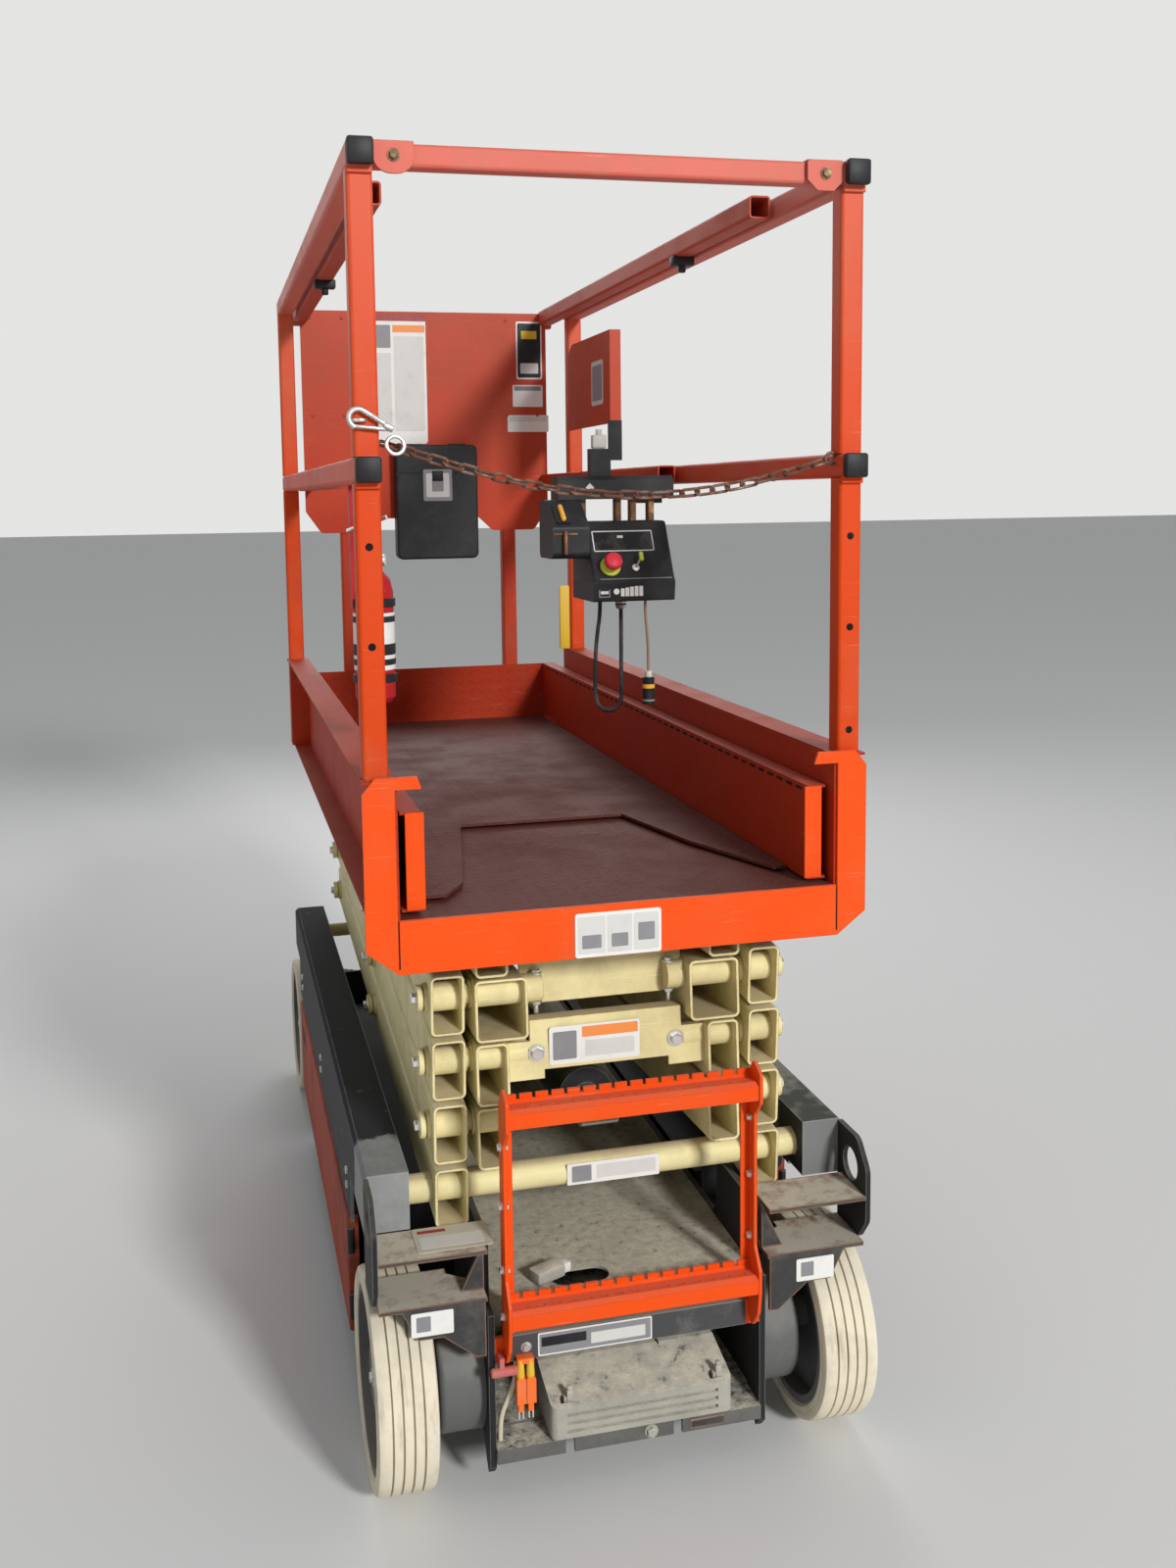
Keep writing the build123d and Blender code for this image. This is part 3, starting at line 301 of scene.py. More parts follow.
def plasticFinish(name, colour, rough=0.42, dustiness=0.2, dust=(0.35, 0.33, 0.3)):
    f = Finish(name, IOR=1.48, Specular_IOR_Level=0.22)
    grain, patches = f.noise(900, 2), f.noise(22, 6, 0.65)
    scuffs = f.noise(7, 2, 0.4, (90, 4, 120)).above(0.7, 0.02)
    dusty = ((patches - 0.5 + 0.3 * dustiness) * 2.5).clamped() * (0.25 + 0.5 * dustiness)
    body = f.mix((dusty + scuffs * 0.25).clamped(), colour, dust)
    relief = f.bump(grain + scuffs * -0.3, 0.18, 0.0005)
    return f.give(body, rough + dusty * 0.35 + grain * 0.08, Normal=relief)


# name, colour, roughness, how dusty, dust
plastics = {"fadedRed": ("fadedRedPlastic", (0.5, 0.11, 0.1), 0.5, 0.2, (0.5, 0.35, 0.3)),
            # near black: painted shade for holes, slots and plate folds
            "hole": ("holeDark", (0.008, 0.006, 0.006), 0.9, 0),
            "plastic": ("blackPlastic", (0.014, 0.014, 0.016), 0.42, 0.1, (0.1, 0.1, 0.095)),
            "gloss": ("glossBlack", (0.012, 0.012, 0.014), 0.18, 0.1),
            "plug": ("orangePlastic", (0.85, 0.16, 0.02)),
            "knob": ("redPlastic", (0.62, 0.03, 0.05)),
            "yellow": ("yellowPlastic", (0.72, 0.46, 0.03)),
            "lime": ("limePlastic", (0.55, 0.62, 0.06)),
            "amber": ("amberPlastic", (0.85, 0.42, 0.05), 0.35),
            "milky": ("milkyPlastic", (0.62, 0.6, 0.55), 0.3),
            "sheath": ("blackSheath", (0.02, 0.02, 0.02), 0.5),
            "paleSheath": ("paleSheath", (0.62, 0.56, 0.42), 0.6),
            "brownSheath": ("brownSheath", (0.3, 0.2, 0.13), 0.55)}


def signFinish(name, colour):
    f = Finish(name, IOR=1.45)
    patches, grain = f.noise(30, 6, 0.65), f.noise(600, 3)
    body = f.mix(((patches - 0.5) * 2).clamped() * 0.35, colour, (0.42, 0.38, 0.33))
    body = f.mix((grain * 0.5 + patches * 0.5).above(0.66, 0.02), body, (0.3, 0.24, 0.2))
    return f.give(body, 0.4 + patches * 0.25, Normal=f.bump(grain, 0.12, 0.0004))


inks = {"white": ("whiteSign", (0.74, 0.73, 0.69)), "oldPaper": ("oldPaper", (0.5, 0.46, 0.38)),
        "greyInk": ("greyInk", (0.22, 0.22, 0.23)), "paleInk": ("paleInk", (0.6, 0.59, 0.56)),
        "orangeInk": ("orangeInk", (0.8, 0.25, 0.05)), "maroon": ("maroonInk", (0.3, 0.03, 0.03))}


def chalkFinish(name, colour, shade, pit, scale=70, depth=0.0015):
    f = Finish(name, IOR=1.4)
    clots, patches, fine = f.noise(scale, 5, 0.7), f.noise(9, 6, 0.7), f.noise(420, 4)
    body = f.mix((clots * 0.7 + patches * 0.5 + fine * 0.2 - 0.3).above(0.42, 0.12), shade, colour)
    body = f.mix(clots.above(0.36, 0.04), pit, body)
    side = f.mix((patches * 0.7 + fine * 0.4).above(0.5, 0.25), pit, shade)
    body = f.mix(f.lying().above(0.4, 0.3), side, body)
    return f.give(body, 0.92, Normal=f.bump(clots * 1.2 + fine * 0.4, 0.55, depth))


# name, colour, shade, pit, clot size, relief
chalks = {"pan": ("dustyPan", (0.68, 0.63, 0.5), (0.16, 0.155, 0.14), (0.045, 0.045, 0.045)),
          "cover": ("grittyCover", (0.66, 0.61, 0.48), (0.44, 0.41, 0.33), (0.14, 0.14, 0.12)),
          "case": ("dustyCase", (0.72, 0.66, 0.52), (0.46, 0.44, 0.37), (0.2, 0.2, 0.18), 38, 0.0025)}
tyreRubber = {"tyre": ("paleRubber", (0.74, 0.67, 0.52), (0.36, 0.31, 0.23))}
treadPaint = {"deck": ("wornTread", (0.105, 0.029, 0.021), (0.17, 0.075, 0.06), (0.105, 0.044, 0.036))}


def rubberFinish(name, colour, stain):
    f = Finish(name, IOR=1.45, Specular_IOR_Level=0.2)
    patches, grain, marks = f.noise(16, 7, 0.7), f.noise(500, 3), f.noise(9, 4, 0.6, (6, 1, 1))
    body = f.mix(patches.above(0.58, 0.12), colour, tinted(colour, 0.82))
    body = f.mix(marks.above(0.64, 0.06) * 0.5, body, stain)
    return f.give(body, 0.82 + grain * 0.1, Normal=f.bump(grain + patches * 0.6, 0.35, 0.0008))


def treadFinish(name, colour, worn, dust):
    f = Finish(name, IOR=1.45, Specular_IOR_Level=0.2)
    bars = f.bars(f.axis("X"), f.axis("Y"))
    cloud, patches, grain = f.noise(2.6, 6, 0.6), f.noise(11, 7, 0.7), f.noise(300, 3)
    scratchA = f.noise(4, 2, 0.4, (5, 140, 5)).above(0.68, 0.02)
    scratchB = f.noise(4, 2, 0.4, (150, 8, 5)).above(0.69, 0.02)
    rubbed = (bars.above(0.45, 0.3) * (cloud + patches * 0.5)).above(0.62, 0.12)
    dusty = ((cloud + patches - 0.9) * 2.2).clamped()
    body = f.mix(dusty * 0.7, colour, dust)
    body = f.mix((rubbed * 0.55 + (scratchA + scratchB) * 0.35).clamped(), body, worn)
    relief = f.bump(bars.maths("MINIMUM", 0.6) + grain * 0.06, 0.9, 0.0025)
    return f.give(body, 0.5 + dusty * 0.3 + grain * 0.1, Normal=relief)


shelfPaint = {"dust": ((0.62, 0.57, 0.47), (0.42, 0.38, 0.3)), "apron": (0.03, 0.03, 0.03),
              "rust": ((0.34, 0.17, 0.085), (0.2, 0.1, 0.06)), "grime": (0.2, 0.18, 0.15)}


def shelfFinish(name, paint):
    f = Finish(name, IOR=1.45)                         # black aprons under shelves that have lost their paint
    cloud, patches, grain = f.noise(5, 6, 0.6), f.noise(26, 7, 0.7), f.noise(420, 3, 0.6)
    edge = f.edges(0.004)
    dust = f.mix(grain, *paint["dust"])
    rust = f.mix(patches.above(0.5, 0.1), *paint["rust"])
    top = f.mix((cloud * 0.5 + patches * 0.6 + edge * 0.4).above(0.64, 0.08), dust, rust)
    side = f.mix((edge * 0.8 + patches * 0.5).above(0.62, 0.08), paint["apron"], rust)
    side = f.mix(((cloud + patches - 0.95) * 2).clamped() * 0.5, side, paint["grime"])
    flat = f.lying().above(0.6, 0.1)
    relief = f.bump(grain * 0.5 + patches * 0.8, 0.45, 0.0009)
    return f.give(f.mix(flat, side, top), 0.62 + flat * 0.25, Normal=relief)


beamPaint = {"side": (0.022, 0.023, 0.026), "litNearEnd": (0.19, 0.195, 0.19), "grime": (0.3, 0.28, 0.24),
             "dust": ((0.07, 0.072, 0.066), (0.22, 0.215, 0.19)), "bare": (0.3, 0.34, 0.38),
             "tape": ((0.16, 0.17, 0.17), (0.46, 0.47, 0.45)), "tapeFrom": 0.745}


def beamFinish(name, paint):
    f = Finish(name, IOR=1.45, Specular_IOR_Level=0.2)
    cloud, patches, grain = f.noise(4, 6, 0.6), f.noise(30, 7, 0.7), f.noise(420, 3, 0.6)
    forward, edge = 0 - f.facing("Y"), f.edges(0.003)
    litRightBeam, flat = f.axis("X").above(0, 0.02), f.lying().above(0.6, 0.1)
    # faces that look forward turn grey: painted light on the near ends of the black beams
    body = f.mix(forward.above(0.6, 0.1), paint["side"], paint["litNearEnd"])
    dusty = f.mix((cloud * 0.5 + patches * 0.5).above(0.5, 0.06), *paint["dust"])
    # only the right beam's tops turn paler: partly dust, partly painted light, while the left beam's top
    # stays dark as painted shade
    body = f.mix(flat * litRightBeam, body, dusty)
    body = f.mix((cloud * 0.6 + patches * 0.6).above(0.76, 0.05) * 0.4, body, paint["grime"])
    tape = (f.axis("Y") * -1 + cloud * 0.1 + patches * 0.05).above(paint["tapeFrom"], 0.004)
    tape = tape * (1 - litRightBeam)
    body = f.mix(tape * (0.55 + grain * 0.3), body, f.mix(patches, *paint["tape"]))
    body = f.mix((edge * 0.55 + patches * 0.5 + grain * 0.1).above(0.7, 0.08), body, paint["bare"])
    relief = f.bump(grain * 0.4 + patches * 0.6 + tape * 0.8, 0.4, 0.0008)
    return f.give(body, 0.6 + flat * 0.25 - tape * 0.2, Normal=relief)


finishes = {}


def makeFinishes():
    for make, rows in ((paintFinish, paints), (sootyFinish, sootyPaints), (metalFinish, metals),
                       (plasticFinish, plastics), (signFinish, inks), (chalkFinish, chalks),
                       (rubberFinish, tyreRubber), (treadFinish, treadPaint)):
        for key, facts in rows.items():
            finishes[key] = make(*facts)
    finishes["shelf"] = shelfFinish("shelfPaint", shelfPaint)
    finishes["beam"] = beamFinish("sideBeamGrey", beamPaint)


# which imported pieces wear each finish
wearers = {
    "beam": ["side_beams"], "shelf": ["pocket_shelves"], "pan": ["floor_pan"], "cover": ["centre_cover"],
    "case": ["charger_box"], "plug": ["charge_plugs"], "fadedRed": ["lowering_handle"],
    "motor": ["drive_motors"], "door": ["tray_door"],
    "black": ["tie_down_plates", "frame_plates", "beam_hangers", "steer_axle", "steer_knuckle",
              "lift_barrel"],
    "tyre": ["drive_tyre", "steer_tyre"], "rim": ["drive_rim", "steer_rim"],
    "steel": ["tie_rod"], "chrome": ["lift_rod"], "cream": ["outer_arm", "inner_arm"],
    "deck": ["platform_deck", "extension_deck"], "orange": ["ladder", "end_plates"], "post": ["rail_posts"],
    "deepRed": ["side_channels", "extension_toe_boards"], "aged": ["side_rails", "entry_bar"],
    "red": ["post_sockets", "side_panel", "extension_rails", "extension_posts", "end_panel"],
    "plastic": ["power_packs", "control_console", "document_box"], "bottle": ["fire_extinguisher"],
    "chain": ["entry_chain"], "sheath": ["control_cable", "sensor_cable"], "paleSheath": ["charger_lead"]}


def dress(piece, key):
    piece.data.materials.clear()
    piece.data.materials.append(finishes[key])
    return piece


def dressNodes():
    for name, piece in frame["nodes"].items():
        dress(piece, next(key for key, starts in wearers.items() if name.startswith(tuple(starts))))


def makeFloor():
    bpy.ops.mesh.primitive_plane_add(size=studio["floorSize"], location=studio["floorCentre"])
    floor = bpy.context.object
    floor.name = "floor"
    floor.data.materials.append(Finish("floorPaint").give(studio["floorColour"], studio["floorRough"]))


def clearSelection():
    if bpy.context.object and bpy.context.object.mode != "OBJECT":
        bpy.ops.object.mode_set(mode="OBJECT")
    bpy.ops.object.select_all(action="DESELECT")


def only(piece):
    clearSelection()
    piece.select_set(True)
    bpy.context.view_layer.objects.active = piece


def applyPlace(piece):
    only(piece)
    bpy.ops.object.transform_apply(location=True, rotation=True, scale=True)
    return piece


def placed(piece, place):
    piece.matrix_world = place
    return applyPlace(piece)


def facing(place, direction):
    return Matrix.Translation(place) @ Vector(direction).to_track_quat("Z", "Y").to_matrix().to_4x4()


def shifted(place, x=0, y=0, z=0):
    return Vector(place) + Vector((x, y, z))


def selectWhere(piece, rule, kind="EDGE"):
    only(piece)
    bpy.ops.object.mode_set(mode="EDIT")
    bpy.ops.mesh.select_mode(type=kind)
    bpy.ops.mesh.select_all(action="DESELECT")
    shape = bmesh.from_edit_mesh(piece.data)
    for part in shape.edges if kind == "EDGE" else shape.verts:
        if rule(part):
            part.select_set(True)
    bmesh.update_edit_mesh(piece.data)


def roundEdges(piece, rule, radius, steps=2):
    selectWhere(piece, rule)
    bpy.ops.mesh.bevel(offset=radius, segments=steps, affect="EDGES")
    bpy.ops.object.mode_set(mode="OBJECT")
    return piece


def run(edge):
    return edge.verts[1].co - edge.verts[0].co


def closeEnds(piece):
    selectWhere(piece, lambda edge: edge.is_boundary)
    bpy.ops.mesh.edge_face_add()


def tidyShell(piece):
    only(piece)
    bpy.ops.object.mode_set(mode="EDIT")
    bpy.ops.mesh.select_all(action="SELECT")
    bpy.ops.mesh.remove_doubles(threshold=0.00001)
    bpy.ops.mesh.normals_make_consistent(inside=False)
    bpy.ops.object.mode_set(mode="OBJECT")
    return piece


def box(corner, opposite, rounding=0, steps=2, along=None):
    clearSelection()                                   # along rounds only the four edges of that direction
    corner, opposite = Vector(corner), Vector(opposite)
    bpy.ops.mesh.primitive_cube_add(size=1, location=(corner + opposite) / 2,
                                    scale=[abs(s) for s in opposite - corner])
    made = applyPlace(bpy.context.object)
    if rounding:
        axis = "xyz".find(along or "none")
        roundEdges(made, lambda edge: axis < 0 or abs(run(edge).normalized()[axis]) > 0.99, rounding, steps)
    return made


def rod(radius, start, end, sides=24, rounding=0):
    clearSelection()
    start, end = Vector(start), Vector(end)
    turn = (end - start).to_track_quat("Z", "Y").to_euler()
    bpy.ops.mesh.primitive_cylinder_add(vertices=sides, radius=radius, depth=(end - start).length,
                                        location=(start + end) / 2, rotation=turn)
    made = applyPlace(bpy.context.object)
    if rounding:
        roundEdges(made, lambda edge: edge.calc_face_angle(0) > 1.2, rounding)
    return made


def turned(stations, sides=48, closed=False, foot=(0, 0, 0)):
    clearSelection()                                   # stations are (radius, height) up Z
    bpy.ops.mesh.primitive_circle_add(vertices=sides, radius=stations[0][0], location=(0, 0, 0))
    made = bpy.context.object
    bpy.ops.object.mode_set(mode="EDIT")
    bpy.ops.mesh.select_all(action="SELECT")
    bpy.ops.transform.translate(value=(0, 0, stations[0][1]))
    for (before, low), (after, high) in zip(stations, stations[1:]):
        bpy.ops.mesh.extrude_edges_move(TRANSFORM_OT_translate={"value": (0, 0, high - low)})
        bpy.ops.transform.resize(value=(after / before, after / before, 1), center_override=(0, 0, high))
    if not closed:
        bpy.ops.mesh.edge_face_add()
        closeEnds(made)
    return placed(tidyShell(made), Matrix.Translation(foot))


def bentRod(radius, start, heading, moves, sides=12):
    clearSelection()                                   # moves are run lengths or (turn centre, axis, degrees)
    turn = Vector(heading).to_track_quat("Z", "Y").to_euler()
    bpy.ops.mesh.primitive_circle_add(vertices=sides, radius=radius, location=start, rotation=turn)
    made = applyPlace(bpy.context.object)
    bpy.ops.object.mode_set(mode="EDIT")
    bpy.ops.mesh.select_all(action="SELECT")
    heading = Vector(heading).normalized()
    for move in moves:
        if isinstance(move, tuple):
            centre, axis, angle = move
            steps = max(2, int(abs(angle) / 15))
            bpy.ops.mesh.spin(steps=steps, angle=math.radians(-angle), center=centre, axis=axis)
            heading = Matrix.Rotation(math.radians(angle), 3, Vector(axis)) @ heading
        else:
            bpy.ops.mesh.extrude_edges_move(TRANSFORM_OT_translate={"value": heading * move})
    closeEnds(made)
    return tidyShell(made)


def ring(radius, wire, place, direction):
    clearSelection()
    bpy.ops.mesh.primitive_torus_add(major_segments=28, minor_segments=10,
                                     major_radius=radius, minor_radius=wire)
    return placed(bpy.context.object, facing(place, direction))


def twin(piece, place):
    return placed(linked(piece.name, piece.data.copy()), place)


def joined(parts):
    clearSelection()
    for part in parts:
        part.select_set(True)
    bpy.context.view_layer.objects.active = parts[0]
    if len(parts) > 1:
        bpy.ops.object.join()
    return bpy.context.view_layer.objects.active


def fit(name, body, parts, angle=35, place=Matrix()):
    dressed = []                                       # parts are given by the finish they wear
    for key, some in parts.items():
        dressed += [dress(part, key) for part in (some if isinstance(some, list) else [some])]
    piece = placed(joined(dressed), place)
    bpy.ops.object.shade_smooth_by_angle(angle=math.radians(angle))
    piece.name = name
    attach(piece, body)
    return piece


def bolt(size):
    head = rod(size, (0, 0, size * 0.2), (0, 0, size * 0.95), 6)
    roundEdges(head, lambda edge: all(v.co.z > size * 0.9 for v in edge.verts), size * 0.12, 1)
    return joined([head, rod(size * 1.35, (0, 0, 0), (0, 0, size * 0.22), 20)])


def boltRow(name, body, size, places, key="zinc"):
    first = bolt(size)                                 # places are (foot, direction)
    made = [twin(first, facing(*place)) for place in places]
    bpy.data.objects.remove(first)
    fit(name, body, {key: made})


signPlate = {"thick": 0.0012, "layer": 0.0002, "rounding": 0.06}


def sign(name, body, place, wide, high, cells=(), key="white", direction=(0, -1, 0)):
    parts = {}                                         # cells are (left, right, low, top, finish) in shares
    for layer, (left, right, low, top, ink) in enumerate([(0, 1, 0, 1, key), *cells]):
        corner = (wide * (left - 0.5), high * (low - 0.5), 0)
        opposite = (wide * (right - 0.5), high * (top - 0.5), signPlate["thick"] + signPlate["layer"] * layer)
        rounding = min(opposite[0] - corner[0], opposite[1] - corner[1]) * signPlate["rounding"]
        parts.setdefault(ink, []).append(box(corner, opposite, rounding, 3, "z"))
    fit(name, body, parts, place=facing(place, direction))


joints = {joint["name"]: joint for joint in frame["joints"]}


def pin(name):
    return Vector(joints[name]["pos_m"])


chainRoute = {"points": [(-0.337, -0.853, 1.572), (-0.300, -0.853, 1.561), (-0.250, -0.854, 1.545),
                         (-0.195, -0.853, 1.529), (-0.135, -0.852, 1.514), (-0.070, -0.853, 1.503),
                         (-0.005, -0.854, 1.497), (0.060, -0.853, 1.495), (0.125, -0.852, 1.499),
                         (0.190, -0.853, 1.508), (0.245, -0.853, 1.521), (0.295, -0.852, 1.534),
                         (0.337, -0.852, 1.546)],
              "pitch": 0.0235, "wire": 0.0023, "halfWide": 0.0059, "twist": 40, "slack": 16}
cables = {
    "controlCable": {
        "node": "control_cable", "body": "extension", "finish": "sheath", "diameter": 0.008,
        "points": [
            (0.210, -0.167, 1.284), (0.210, -0.167, 1.240), (0.209, -0.170, 1.200), (0.208, -0.172, 1.160),
            (0.208, -0.174, 1.122), (0.208, -0.174, 1.104), (0.203, -0.175, 1.089), (0.190, -0.176, 1.079),
            (0.174, -0.176, 1.079), (0.161, -0.175, 1.088), (0.156, -0.174, 1.104), (0.155, -0.172, 1.122),
            (0.156, -0.169, 1.158), (0.159, -0.164, 1.196), (0.165, -0.158, 1.234), (0.172, -0.153, 1.268),
            (0.172, -0.153, 1.300)]},
    "sensorCable": {
        "node": "sensor_cable", "body": "extension", "finish": "brownSheath", "diameter": 0.006,
        "points": [
            (0.262, -0.160, 1.300), (0.262, -0.160, 1.268), (0.266, -0.157, 1.234), (0.270, -0.152, 1.202),
            (0.271, -0.149, 1.170), (0.271, -0.149, 1.138)]},
    "chargerLead": {
        "node": "charger_lead", "body": "chassis", "finish": "paleSheath", "diameter": 0.008,
        "points": [
            (-0.176, -0.884, 0.225), (-0.176, -0.884, 0.203), (-0.180, -0.880, 0.180),
            (-0.188, -0.875, 0.158), (-0.196, -0.871, 0.136), (-0.199, -0.870, 0.114),
            (-0.199, -0.870, 0.092)]}}


def lineLength(points):
    return sum((b - a).length for a, b in zip(points, points[1:]))


def route(name, points, diameter=0):
    line = bpy.data.curves.new(name, "CURVE")
    line.dimensions, line.resolution_u = "3D", 12
    spline = line.splines.new("NURBS")
    spline.points.add(len(points) - 1)
    for knot, point in zip(spline.points, points):
        knot.co = (*point, 1)
    spline.order_u = 3
    spline.use_endpoint_u = True
    line.bevel_depth, line.bevel_resolution, line.use_fill_caps = diameter / 2, 4, True
    return linked(name, line)


def routeLine(points):
    bare = route("bareRoute", points)
    found = [v.co.copy() for v in bpy.data.meshes.new_from_object(bare).vertices]
    bpy.data.objects.remove(bare)
    return found


def makeCable(name, facts):
    points, diameter = facts["points"], facts["diameter"]
    piece = dress(route(name, points, diameter), facts["finish"])
    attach(piece, facts["body"])
    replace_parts(piece, facts["node"])
    round(lineLength(routeLine(points)), 3)


def chainLink():
    wide, wire = chainRoute["halfWide"], chainRoute["wire"]
    half = chainRoute["pitch"] / 2 + wire - wide       # half of a straight side
    bends = [((x, 0, 0), (0, 0, 1), -180) for x in (half, -half)]
    return bentRod(wire, (-half, wide, 0), (1, 0, 0), [2 * half, bends[0], 2 * half, bends[1]], 8)


def makeChain():
    line = routeLine(chainRoute["points"])
    total, pitch = lineLength(line), chainRoute["pitch"]
    link = chainLink()
    made, walked, wanted = [], 0, pitch / 2
    for a, b in zip(line, line[1:]):
        step = (b - a).length
        while wanted <= walked + step and wanted < total - pitch / 3:
            turn = (b - a).to_track_quat("X", "Z").to_matrix().to_4x4()
            swing = chainRoute["twist"] + 90 * (len(made) % 2) + random.uniform(-1, 1) * chainRoute["slack"]
            place = Matrix.Translation(a.lerp(b, (wanted - walked) / step)) @ turn
            made.append(twin(link, place @ Matrix.Rotation(math.radians(swing), 4, "X")))
            wanted += pitch
        walked += step
    bpy.data.objects.remove(link)
    chain = fit("entryChain", "platform", {"chain": made}, 60)
    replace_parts(chain, "entry_chain")
    makeSnapHook(line[0])
    makeChainEye(line[-1])


snapHook = {"wire": 0.0036, "loop": 0.0125, "shank": 0.034, "eye": 0.0125, "slope": 32,
            "offset": (-0.022, 0.026)}


def makeSnapHook(place):
    wire, loop, shank = snapHook["wire"], snapHook["loop"], snapHook["shank"]
    bend = ((-0.012, 0, 0), (0, 1, 0), 180)
    hook = bentRod(wire, (-0.01, 0, -loop), (-1, 0, 0), [0.002, bend, 0.012 + shank])
    gate = rod(wire * 0.8, (-0.012, 0, -loop), (shank - 0.006, 0, loop - 0.005), 12, wire * 0.3)
    barrel = rod(wire * 1.5, (shank - 0.012, 0, loop - 0.002), (shank + 0.002, 0, loop), 12, wire * 0.4)
    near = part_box("rail_posts")[0].y - 2 * wire        # just in front of the post
    right, up = snapHook["offset"]
    at = Matrix.Translation((place.x + right, near, place.z + up))
    slope = Matrix.Rotation(math.radians(snapHook["slope"]), 4, "Y")
    hook = placed(joined([hook, gate, barrel]), at @ slope)
    eye = ring(snapHook["eye"], wire * 0.8, (place.x + 0.018, near + wire, place.z - 0.004), (0.15, -1, 0.2))
    x, z = place.x - 0.036, place.z + 0.03
    bend = ((x + 0.007, near + 0.006, z), (0, 0, 1), 180)
    staple = bentRod(wire * 0.8, (x, near + 0.012, z), (0, -1, 0), [0.006, bend, 0.006], 10)
    return fit("snapHook", "platform", {"steel": hook, "zinc": [eye, staple]}, 60)


def makeChainEye(place):
    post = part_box("rail_posts")[1].x - railTrim["tube"]
    eye = ring(0.0085, 0.0026, shifted(place, -0.003), (0, 1, 0.15))
    stub = rod(0.005, shifted(place, 0.003), (post + 0.001, place.y, place.z + 0.001), 12, 0.001)
    return fit("chainEye", "platform", {"chain": [eye, stub]}, 60)


tread = {"ribs": 5, "groove": 0.0032, "depth": 0.0065, "shoulder": 0.008, "sides": 112}


def makeTyre(side, end, body):
    node = end + "_tyre_" + side
    low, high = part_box(node)
    rimLow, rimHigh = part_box(end + "_rim_" + side)
    radius, half, bore = (high.z - low.z) / 2, (high.x - low.x) / 2, (rimHigh.z - rimLow.z) / 2
    soft, groove = tread["shoulder"], tread["groove"]
    edge = half - soft
    wide = (2 * edge - (tread["ribs"] - 1) * groove) / tread["ribs"]
    bead = [(bore, half - 0.004), (bore + 0.004, half), (bore + 0.009, half), (bore + 0.01, half - 0.001),
            (radius - soft, half), (radius - soft * 0.3, half - soft * 0.3)]
    stations = [(r, -x) for r, x in bead] + [(radius, -edge)]
    floor = radius - tread["depth"]
    for index in range(tread["ribs"]):
        start = -edge + index * (wide + groove)
        if index:
            stations += [(floor, start - groove + 0.0006), (floor, start - 0.0006), (radius, start)]
        stations.append((radius, start + wide))
    stations += [*reversed(bead), stations[0]]
    shape = turned(stations, tread["sides"], True)
    place = facing((low + high) / 2, (1, 0, 0))
    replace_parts(fit(end + side.title() + "Tyre", body, {"tyre": shape}, 40, place), node)


axleNut = {"size": 0.017, "foot": 0.018, "stub": 0.008, "stubEnd": 0.0385,
           "cotter": 0.0015, "cotterAt": 0.0355}


def makeAxleNuts():
    for end, joint in (("drive", "drive_"), ("steer", "roll_")):
        for side, way in (("left", -1), ("right", 1)):
            axis = pin(joint + side)
            foot, tip, hole = [shifted(axis, way * axleNut[part]) for part in ("foot", "stubEnd", "cotterAt")]
            parts = [placed(bolt(axleNut["size"]), facing(foot, (way, 0, 0))),
                     rod(axleNut["stub"], foot, tip, 16, 0.001),
                     rod(axleNut["cotter"], shifted(hole, y=-0.014, z=0.004),
                         shifted(hole, y=0.013, z=-0.004), 8)]
            fit(end + side.title() + "AxleNut", end + "_wheel_" + side, {"steel": parts}, 40)


railTrim = {"tube": 0.036, "capLong": 0.013, "lugWide": 0.056, "lugWall": 0.004, "bolt": 0.0065,
            "hole": 0.0055, "holes": {-1: (1.43, 1.292), 1: (1.431, 1.295, 1.139)},
            "lockPin": (-0.384, 1.451)}


def makeRailCaps():
    rails, posts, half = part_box("side_rails"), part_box("rail_posts"), railTrim["tube"] / 2
    caps, collars, holes = [], [], []
    for side in (-1, 1):
        x = side * (rails[1].x - half)
        for z, near in ((rails[1].z - half, rails[0].y), (rails[0].z + half, posts[0].y - 0.01)):
            caps.append(box((x - half, near - railTrim["capLong"], z - half),
                            (x + half, near + 0.0005, z + half), 0.004))
            collars.append(box((x - half + 0.001, near + 0.004, z - half - 0.008),
                               (x + half - 0.001, near + 0.012, z - half + 0.001), 0.001, 1))
        for z in railTrim["holes"][side]:
            # dark discs: painted shade in the posts' holes
            holes.append(rod(railTrim["hole"], (x, posts[0].y - 0.0004, z), (x, posts[0].y + 0.002, z), 16))
    fit("railEndCaps", "platform", {"plastic": caps})
    fit("railCollars", "platform", {"post": collars})
    fit("postHoles", "platform", {"hole": holes})


